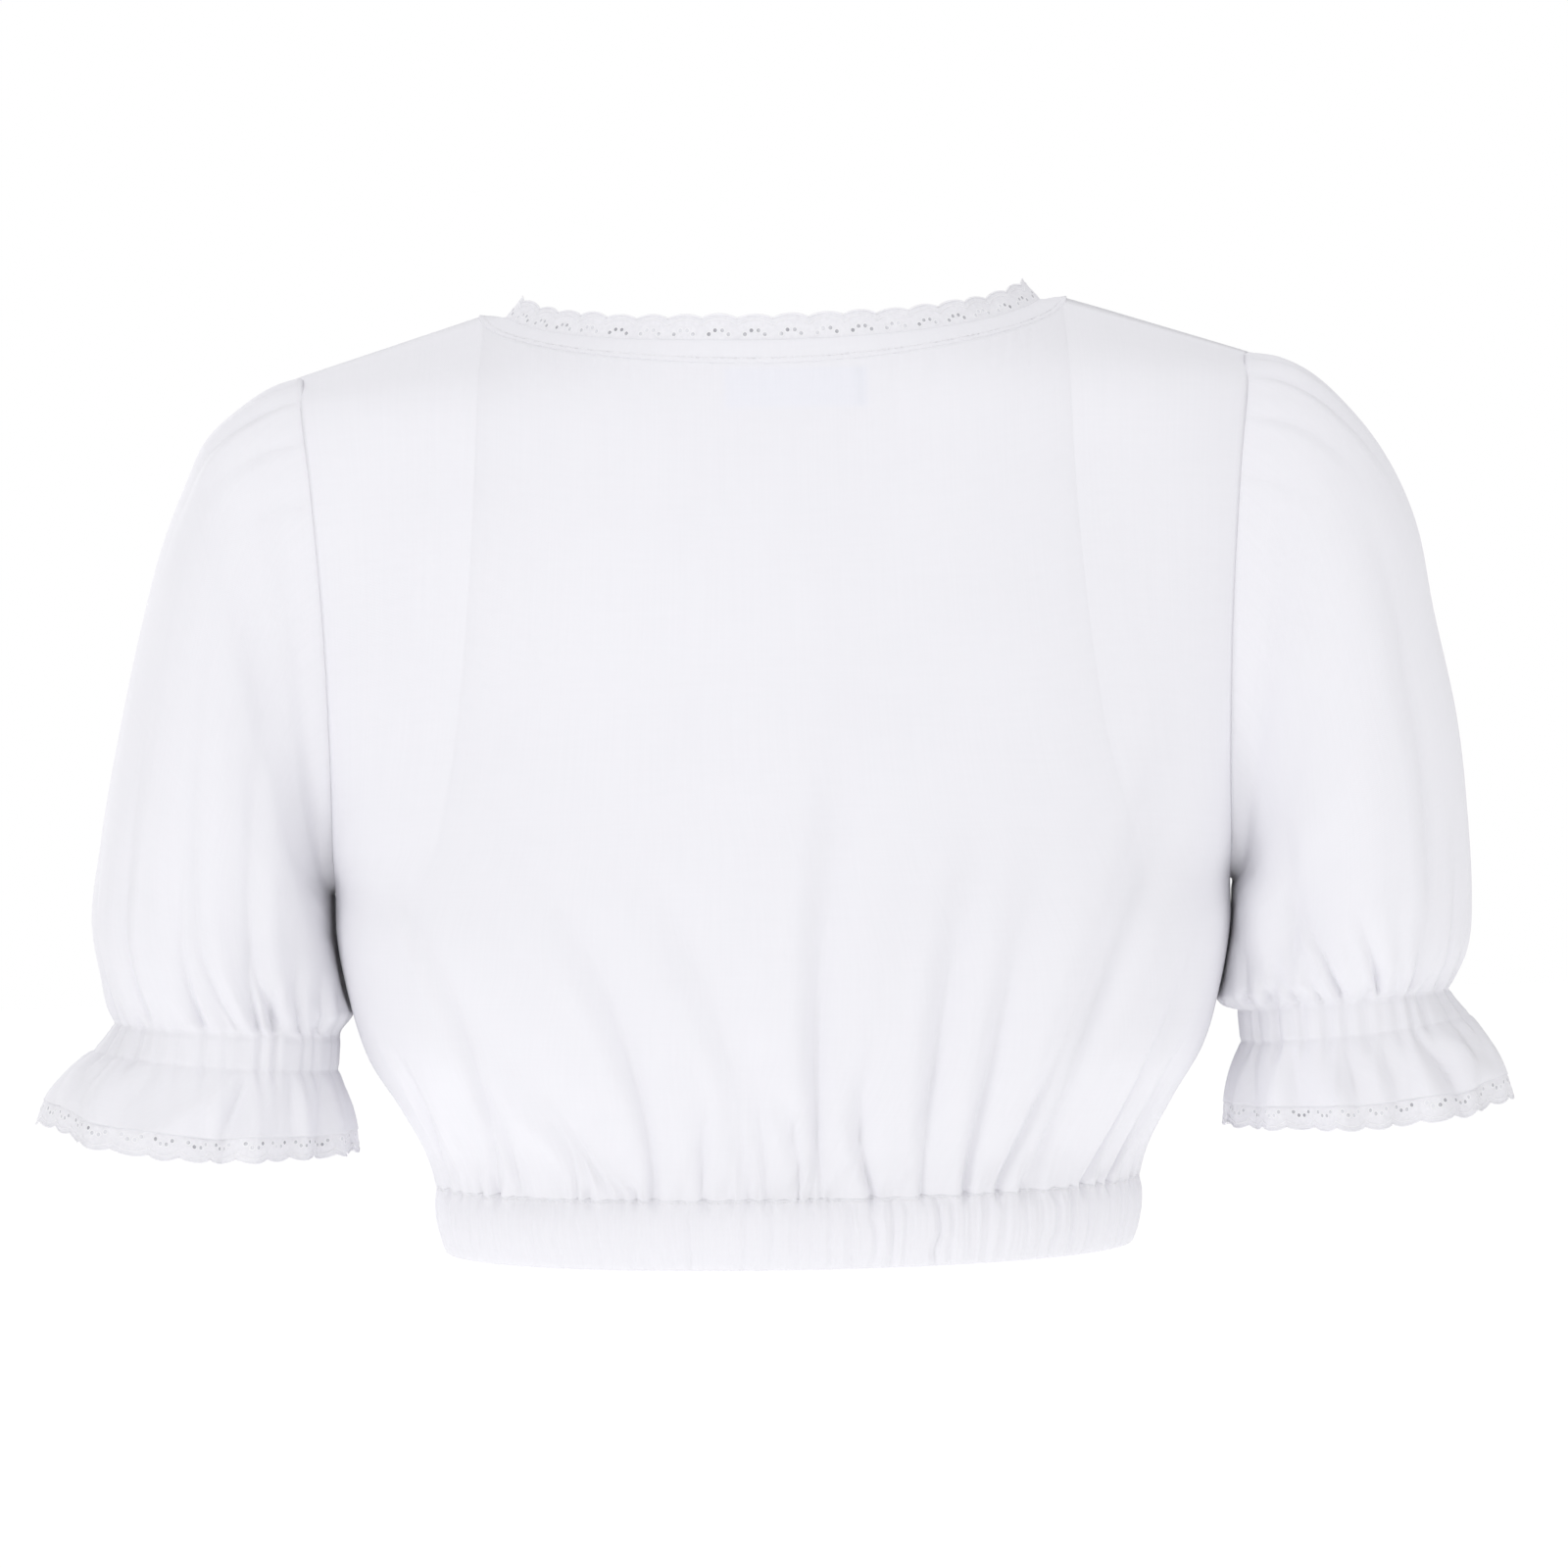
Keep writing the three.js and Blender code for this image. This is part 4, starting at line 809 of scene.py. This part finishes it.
# columns, rows down to the channel, rows of channel and ruffle
SLEEVE_MESH = (288, 96, 40)
for side in ("left", "right"):
    grid = sleeve_grid(side, *SLEEVE_MESH)
    sleeve = cloth_piece(f"sleeve_{side}_cloth", grid, SLEEVE_CUT, f"sleeve_{side}", cotton)


# Hem casing: the lower edge of the blouse turned up into a band round a flat elastic, so that it stands in
# fine upright gathers all round. It is one layer outside, folded under at the hem and up again inside.
CASING_DEPTH = 28.0
HEM_GATHERS = 98
# down, drawn in, share of the gathers' relief
CASING_PROFILE = (
    (0.03, 0.0, 0.0), (0.3, 0.1, 0.2), (0.7, 0.16, 0.4), (1.3, 0.14, 0.6), (2.4, 0.0, 0.8),
    (4.2, -0.3, 1.0), (7, -0.7, 1.1), (10, -0.7, 1.15), (14, -0.4, 1.15), (18, 0.3, 1.15), (22, 1.3, 1.15),
    (25, 2.3, 1.1), (27.2, 3.3, 1.0), (28.0, 4.1, 0.8), (27.9, 5.1, 0.5), (26, 5.9, 0.35), (20, 4.9, 0.3),
    (12, 3.7, 0.3), (5, 3.0, 0.3), (0.4, 2.6, 0.2),
)


def at_places(at, run, values):
    """Values of a line of points at places along its run."""
    return np.stack([np.interp(at, run, values[:, i]) for i in range(3)], -1)


def hem_line(columns):
    """The hem seam all round, from the wearer's right by the back, plain and as the folds leave it."""
    plain_line, folded_line = [], []
    for half in (BACK, FRONT):
        grid, plain, normal = panels[half]
        way = 1 if half == BACK else -1
        plain_line.append(plain[0, ::way][:-1])
        folded_line.append(grid[0, ::way][:-1])
    lines = [np.concatenate(parts + [parts[0][:1]]) for parts in (plain_line, folded_line)]
    length = run_along(lines[0])
    evenly = np.linspace(0, length[-1], columns + 1)
    return (*(at_places(evenly, length, line) for line in lines), length[-1])


def puckers(along, length, count, seed, sharp):
    """Upright gathers on an elastic: round rolls with narrow valleys between, uneven in width and depth."""
    rng = np.random.default_rng(seed)
    pitch = length / count
    relief = np.full(along.shape, 0.42)
    for i in range(count):
        here = (i + 0.5 + rng.uniform(-0.28, 0.28)) * pitch
        off = (along - here + length / 2) % length - length / 2
        relief -= rng.uniform(0.45, 1.35) * np.exp(-((off / (sharp * pitch * rng.uniform(0.75, 1.3))) ** 2))
    return relief


HEM_COLUMNS = 1100
hem, hem_folded, hem_length = hem_line(HEM_COLUMNS)
profile = np.array(CASING_PROFILE)
casing_rows = np.concatenate([np.arange(0, 14, 0.5), np.arange(14, len(profile))])
down, drawn, share = at_places(casing_rows, np.arange(len(profile)), profile).T[:, :, None]
round_way, down_way = np.broadcast_arrays(np.linspace(0, 1, HEM_COLUMNS + 1)[None], down / CASING_DEPTH)
along = np.linspace(0, hem_length, HEM_COLUMNS + 1)[None] + 1.2 * ripple(round_way, down_way, (60, 4), 7)
out = unit(hem * [1, 1.6, 0])
calmer = 0.72 + 0.28 * np.tanh(-hem[None, :, 0] / 50) * np.sign(hem[None, :, 1])
broad = puckers(along, hem_length, HEM_GATHERS, 5, 0.2)
fine = puckers(along, hem_length, 3 * HEM_GATHERS, 9, 0.26)
relief = calmer * (1.05 * broad + 0.35 * fine) * share
casing = hem[None] + out[None] * (relief - drawn)[..., None]
casing[..., 2] = hem[None, :, 2] - down
casing += (hem_folded - hem)[None] * np.exp(-((np.maximum(down, 0) / 3.2) ** 2))[..., None]
CASING_CUT, CASING_THICKNESS = (1.0, 0.062), 0.35
casing_cloth = cloth_piece("hem_casing_cloth", casing, CASING_CUT, "hem_casing", cotton, CASING_THICKNESS)

# Neck binding: a strip of the cotton folded over the gathered neck edge all round, nine millimetres wide, and
# stitched along its lower edge.
BINDING_WIDTH = 9.0
SCALLOP = 15.0
BACK_SCALLOPS, FRONT_SCALLOPS = 20, 25
NECK_SCALLOPS = BACK_SCALLOPS + FRONT_SCALLOPS
# how far in from the panel's edge, and how high above the panel
BINDING_PROFILE = (
    (-1.7, -0.4), (-1.5, 0.1), (-1.1, 0.22), (-0.5, 0.25), (0.3, 0.19), (0.8, 0.16), (1.4, 0.23),
    (2.4, 0.34), (3.6, 0.42), (4.8, 0.47), (6.0, 0.46), (7.2, 0.42), (8.2, 0.34), (9.0, 0.1), (9.3, -0.4),
    (9.2, -1.1), (8.6, -1.5), (6, -1.6), (3, -1.6), (0, -1.6), (-1.2, -1.75),
)


def smooth_loop(values, times):
    for _ in range(times):
        values = (np.roll(values, 1, 0) + 2 * values + np.roll(values, -1, 0)) / 4
    return values


def neck_loop():
    """The neck edge of both panels as one closed line, with the way out of the cloth and the way inwards."""
    edge, facing = [], []
    for half in (BACK, FRONT):
        grid, plain, normal = panels[half]
        first, last = SHOULDER_COLUMNS, plain.shape[1] - SHOULDER_COLUMNS - 1
        rows = slice(first, last) if half == BACK else slice(last, first, -1)
        edge.append(plain[-1, rows])
        facing.append(normal[-1, rows])
    counts = [len(part) for part in edge]
    edge, facing = np.concatenate(edge), np.concatenate(facing)
    facing = unit(smooth_loop(facing, 10))
    run = np.roll(edge, -1, 0) - np.roll(edge, 1, 0)
    inward = unit(np.cross(smooth_loop(run, 6), facing))
    inward *= np.where((inward[:, :2] * edge[:, :2]).sum(1) > 0, -1, 1)[:, None]
    back_scallops = np.arange(counts[0]) * BACK_SCALLOPS / counts[0]
    front_scallops = BACK_SCALLOPS + np.arange(counts[1]) * FRONT_SCALLOPS / counts[1]
    return edge, facing, inward, np.concatenate([back_scallops, front_scallops])


neck_edge, neck_facing, neck_inward, neck_scallops = neck_loop()


def on_neck(values, at):
    """Values along the neck, at places counted in scallops of the lace."""
    places = np.concatenate([neck_scallops, [NECK_SCALLOPS]])
    return at_places(at % NECK_SCALLOPS, places, np.concatenate([values, values[:1]]))


BINDING_COLUMNS, BINDING_GATHERS = 360, 92
at = np.linspace(0, NECK_SCALLOPS, BINDING_COLUMNS + 1)
inset, rise = np.array(BINDING_PROFILE).T[:, :, None]
pucker = 0.22 * puckers(at * SCALLOP, NECK_SCALLOPS * SCALLOP, BINDING_GATHERS, 17, 0.3)[None]
pucker = pucker * np.exp(-((inset / 3.5) ** 2)) * (rise > -1)
binding = on_neck(neck_edge, at)[None] + on_neck(neck_inward, at)[None] * inset[..., None]
binding = binding + on_neck(neck_facing, at)[None] * (rise + pucker)[..., None]
BINDING_CUT, STRIP_THICKNESS = (0.70, 0.024), 0.3
binding_strip = cloth_piece(
    "neck_binding_strip", binding, BINDING_CUT, "neck_binding", cotton, STRIP_THICKNESS
)

# Eyelet lace: a woven cotton strip 12 mm wide with a scalloped, corded edge and an arch of four embroidered
# eyelets in each scallop. It is made straight and then sewn round the neck and along each ruffle.
SCALLOP_RISE = 1.7
EYELETS = ((-4.1, 3.4), (-1.5, 5.0), (1.5, 5.0), (4.1, 3.4))
EYELET_RADIUS = 0.75
# how far the embroidered rim's middle lies outside the eyelet, and the thread's radius there
RIM_OUT, RIM_RADIUS = 0.3, 0.34
# a dark disc of painted shade closes the middle of the eyelet and reaches under the rim
SHADE_OUT, SHADE_DEPTH = 0.2, 0.41
SMOOTH_BELOW = math.radians(40)
LACE_THICKNESS = 0.35
# reach of the cord's bow, radius, and height of its crown
CORDS = ((SCALLOP_RISE, 0.42, LACE_WIDTH - 0.25), (SCALLOP_RISE + 0.9, 0.22, LACE_WIDTH - 2.3))
# shade, lit, threads, slub, relief, sheen, cloudy, clouds
LACE_COTTON = (0.775, 0.77, 0.81), (0.89, 0.885, 0.92), 4200, 0.4, 0.8, 0.1, 600, 1.2
LACE_THREAD = (0.86, 0.855, 0.885), (0.94, 0.935, 0.96), 7000, 0.8, 0.7, 0.2
EYELET_PAINTED_SHADE = (0.36, 0.36, 0.39), (0.74, 0.74, 0.78), 7000, 0.8, 0.2, 0, 130, 4
lace_cotton = cloth_material("lace cotton", *LACE_COTTON)
lace_thread = cloth_material("embroidery thread", *LACE_THREAD)
eyelet_painted_shade = cloth_material("painted shade in the eyelets", *EYELET_PAINTED_SHADE)


def joined(pieces, name):
    bpy.ops.object.select_all(action="DESELECT")
    for piece in pieces:
        piece.select_set(True)
    bpy.context.view_layer.objects.active = pieces[0]
    bpy.ops.object.join()
    pieces[0].name = name
    return pieces[0]


def repeat_along(piece, count, pitch, merged):
    """Repeats a piece along a straight row."""
    row = piece.modifiers.new("row", "ARRAY")
    row.count = count
    row.use_relative_offset = False
    row.use_constant_offset = True
    row.constant_offset_displace = (pitch * MM, 0, 0)
    row.use_merge_vertices = merged
    row.merge_threshold = 0.01 * MM
    apply(piece, row)


def lace_strip(name, count):
    """A straight strip of lace and the embroidery on it."""
    bpy.ops.object.select_all(action="DESELECT")
    bpy.ops.mesh.primitive_grid_add(x_subdivisions=10, y_subdivisions=5, size=1)
    strip = bpy.context.object
    strip.name = name
    flat = vertices_of(strip)
    across = flat[:, 0] + 0.5
    edge = LACE_WIDTH - SCALLOP_RISE + SCALLOP_RISE * np.sin(math.pi * across) ** 0.8
    move_vertices(strip, point(SCALLOP * across, edge * (flat[:, 1] + 0.5), 0) * MM)
    wall = strip.modifiers.new("wall", "SOLIDIFY")
    wall.thickness = LACE_THICKNESS * MM
    wall.offset = -1
    apply(strip, wall)
    # the side walls of the tile go, so that neighbours join
    select_only(strip)
    bpy.ops.object.mode_set(mode="EDIT")
    bpy.ops.mesh.select_all(action="DESELECT")
    bpy.ops.object.mode_set(mode="OBJECT")
    for face in strip.data.polygons:
        xs = [strip.data.vertices[i].co.x for i in face.vertices]
        face.select = max(xs) < 1e-6 or min(xs) > SCALLOP * MM - 1e-6
    bpy.ops.object.mode_set(mode="EDIT")
    bpy.ops.mesh.select_mode(type="FACE")
    bpy.ops.mesh.delete(type="FACE")
    bpy.ops.object.mode_set(mode="OBJECT")
    repeat_along(strip, count, SCALLOP, True)

    threads = []
    for x, y in EYELETS:
        place = ((SCALLOP / 2 + x) * MM, y * MM, -LACE_THICKNESS / 2 * MM)
        bpy.ops.mesh.primitive_torus_add(
            major_radius=(EYELET_RADIUS + RIM_OUT) * MM, minor_radius=RIM_RADIUS * MM,
            major_segments=12, minor_segments=6, location=place,
        )
        bpy.context.object.data.materials.append(lace_thread)
        threads.append(bpy.context.object)
        # painted shade: a dark disc fills each eyelet where its hole would be
        bpy.ops.mesh.primitive_cylinder_add(
            vertices=12, radius=(EYELET_RADIUS + SHADE_OUT) * MM, depth=SHADE_DEPTH * MM, location=place
        )
        bpy.context.object.data.materials.append(eyelet_painted_shade)
        threads.append(bpy.context.object)
    for reach, radius, crown in CORDS:
        bow = (SCALLOP**2 / 4 + reach**2) / (2 * reach)
        half_angle = math.asin(SCALLOP / 2 / bow)
        bpy.ops.mesh.primitive_circle_add(
            vertices=5, radius=radius * MM, fill_type="NOTHING", rotation=(0, math.pi / 2, 0),
            location=(SCALLOP / 2 * MM, crown * MM, 0.05 * MM),
        )
        cord = bpy.context.object
        bpy.ops.object.transform_apply(location=True, rotation=True, scale=True)
        bpy.ops.object.mode_set(mode="EDIT")
        bpy.ops.mesh.select_all(action="SELECT")
        centre = (SCALLOP / 2 * MM, (crown - bow) * MM, 0)
        bpy.ops.transform.rotate(value=-half_angle, orient_axis="Z", center_override=centre)
        bpy.ops.mesh.spin(steps=10, angle=2 * half_angle, center=centre, axis=(0, 0, 1))
        bpy.ops.object.mode_set(mode="OBJECT")
        cord.data.materials.append(lace_thread)
        threads.append(cord)
    embroidery = joined(threads, f"{name}_embroidery")
    bpy.ops.object.transform_apply(location=True, rotation=True, scale=True)
    repeat_along(embroidery, count, SCALLOP, True)
    return strip, embroidery


def sew_lace(pieces, place):
    """Bends the straight strip and its embroidery into place; place takes scallops along, and millimetres."""
    for piece in pieces:
        straight = vertices_of(piece) / MM
        if not piece.data.uv_layers:
            piece.data.uv_layers.new(name="UVMap")
        corner = np.empty(len(piece.data.loops), int)
        piece.data.loops.foreach_get("vertex_index", corner)
        piece.data.uv_layers[0].data.foreach_set("uv", (straight[corner, :2] * MM).ravel())
        move_vertices(piece, place(straight[:, 0] / SCALLOP, straight[:, 1], straight[:, 2]) * MM)
        weld(piece, MERGE)
        bpy.ops.object.shade_smooth_by_angle(angle=SMOOTH_BELOW)
        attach(piece, "root")
    strip, embroidery = pieces
    strip.data.materials.append(lace_cotton)


# how far the laces lie under the binding and under the ruffle's edge
UNDER_BINDING, UNDER_RUFFLE = 1.0, 1.2
LACE_BEHIND_RUFFLE = 0.42


def on_neck_lace(at, up, off):
    foot = on_neck(neck_edge, at) + on_neck(neck_inward, at) * (BINDING_WIDTH - UNDER_BINDING)
    inward = on_neck(neck_inward, at)
    lean = unit(inward + np.array([0, 0, 0.9]))
    across = on_neck(neck_facing, at)
    across = unit(across - lean * (across * lean).sum(-1, keepdims=True))
    long_wave, short_wave = np.sin(2 * math.pi * at / 3.7), np.sin(2 * math.pi * at / 1.9 + 1)
    wave = (0.5 * long_wave + 0.35 * short_wave) * up / LACE_WIDTH
    return foot + lean * up[:, None] + across * (off + wave - 0.5)[:, None]


neck_lace = lace_strip("neck_lace_strip", NECK_SCALLOPS)
sew_lace(neck_lace, on_neck_lace)
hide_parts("neck_lace")

CUFF_SCALLOPS = 28
for side in ("left", "right"):

    def on_cuff(at, up, off):
        angle = at / CUFF_SCALLOPS * 2 * math.pi
        down = CUFF_CHANNEL + RUFFLE_LENGTH - UNDER_RUFFLE + up
        step = 0.4
        place = cuff_form(side, angle, down)
        round_way = cuff_form(side, angle + 0.01, down) - cuff_form(side, angle - 0.01, down)
        down_way = cuff_form(side, angle, down + step) - cuff_form(side, angle, down - step)
        facing = unit(np.cross(down_way, round_way))
        from_middle = place - [CUFFS[side][0], 0, CUFFS[side][1]]
        facing *= np.where((facing * from_middle).sum(-1) > 0, 1, -1)[:, None]
        turned = (angle + math.pi) % (2 * math.pi) - math.pi
        pressed = ruffle_folds(side, turned, np.ones(angle.shape))
        pressed += 0.2 * cuff_gathers(side, turned, 0 * angle)
        return lifted((place + facing * (off - LACE_BEHIND_RUFFLE - pressed)[:, None]) * [SIGN[side], 1, 1])

    cuff_lace = lace_strip(f"cuff_lace_{side}_strip", CUFF_SCALLOPS)
    sew_lace(cuff_lace, on_cuff)
    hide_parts(f"cuff_lace_{side}")

# Label: a blank satin ribbon, caught by its two ends inside the back neck. It shows through the cotton.
LABEL_CUT = (0.058, 0.016)
LABEL_INSET, LABEL_THICKNESS = 2.2, 0.25
# the label lies over the back panel's rows from here up
LABEL_FROM_ROW = 60


def on_back(x, z):
    """Place and facing on the back panel at x and z."""
    grid, plain, normal = panels[BACK]
    upper, facing = (values[LABEL_FROM_ROW:].reshape(-1, 3) for values in (plain, normal))
    near = np.argmin((upper[:, 0] - x[..., None]) ** 2 + (upper[:, 2] - z[..., None]) ** 2, axis=-1)
    foot, n = upper[near], facing[near]
    y = foot[..., 1] - (n[..., 0] * (x - foot[..., 0]) + n[..., 2] * (z - foot[..., 2])) / n[..., 1]
    return point(x, y, z), n


label_low, label_high = np.array(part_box("neck_label")) / MM
across, up = np.meshgrid(np.linspace(0, 1, 33), np.linspace(0, 1, 11))
label_x, label_z = lerp(label_low[0], label_high[0], across), lerp(label_low[2], label_high[2], up)
label_place, label_facing = on_back(label_x, label_z)
droop = 0.5 * np.sin(math.pi * across) * (1 - 0.6 * up) + 0.12 * np.sin(9 * across) * (1 - up)
hung = label_place - label_facing * (LABEL_INSET + droop)[..., None]
satin = cloth_material("satin ribbon", (0.84, 0.85, 0.93), (0.88, 0.9, 0.97), 9000, 0.3, 0.3, 0.3)
ribbon = cloth_piece(
    "neck_label_ribbon", hung, LABEL_CUT, "neck_label", satin, LABEL_THICKNESS, merge=0
)

# Stitching: white lockstitch, 2.5 mm long, that holds the binding down, makes the two edges of each elastic
# channel, and closes the casing along the hem seam.
STITCH = 2.5
# half the thickness, width and length of a stitch
STITCH_SIZE = (0.16, 0.2, 0.98)
# in from the binding's edge, and up on its cloth
NECK_STITCHES_IN, NECK_STITCHES_UP = 0.7, 0.22
# row of the casing that the hem stitches lie on, and their height above it
HEM_STITCHES_ROW, HEM_STITCHES_UP = 5, 0.05
# the cuff stitches' depth, and the share of the gathers that they follow
CUFF_STITCHES_IN, CUFF_STITCHES_FOLLOW = 0.85, 0.82


def stitch_row(name, line, facing):
    """A row of stitches along a closed line of points in millimetres; facing points out of the cloth."""
    length = run_along(line)
    count = int(length[-1] / STITCH)
    bpy.ops.object.select_all(action="DESELECT")
    bpy.ops.mesh.primitive_uv_sphere_add(segments=6, ring_count=4, radius=1, rotation=(0, math.pi / 2, 0))
    row = bpy.context.object
    row.name = name
    row.scale = [size * MM for size in STITCH_SIZE]
    bpy.ops.object.transform_apply(location=True, rotation=True, scale=True)
    repeat_along(row, count, STITCH, False)
    straight = vertices_of(row) / MM
    at = (straight[:, 0] + STITCH / 2) / (count * STITCH) * length[-1] % length[-1]
    side_way = unit(np.cross(facing, np.gradient(line, axis=0)))
    place, out_way, side_way = (at_places(at, length, values) for values in (line, facing, side_way))
    move_vertices(row, (place + side_way * straight[:, 1:2] + out_way * straight[:, 2:3]) * MM)
    bpy.ops.object.shade_smooth()
    row.data.materials.append(lace_thread)
    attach(row, "root")


at = np.linspace(0, NECK_SCALLOPS, 901)
edge, facing, inward = (on_neck(values, at) for values in (neck_edge, neck_facing, neck_inward))
stitch_row("neck_stitches", edge + inward * NECK_STITCHES_IN + facing * NECK_STITCHES_UP, facing)
seam_out = np.concatenate([out[:-1], out[:1]])
stitch_row("hem_stitches", casing[HEM_STITCHES_ROW] + seam_out * HEM_STITCHES_UP, seam_out)
for side in ("left", "right"):
    angle = np.linspace(-math.pi, math.pi, 721)
    for edge_name, down_at in zip(("upper", "lower"), CHANNEL_STITCHES):
        down = np.full(angle.shape, down_at)
        place = cuff_form(side, angle, down)
        facing = unit(place - cuff_form(side, angle + math.pi, down))
        sunk = CUFF_STITCHES_IN + CUFF_STITCHES_FOLLOW * cuff_gathers(side, angle, 0 * angle)
        place = place - facing * sunk[:, None]
        mirror = [SIGN[side], 1, 1]
        stitch_row(f"cuff_stitches_{side}_{edge_name}", lifted(place * mirror), facing * mirror)
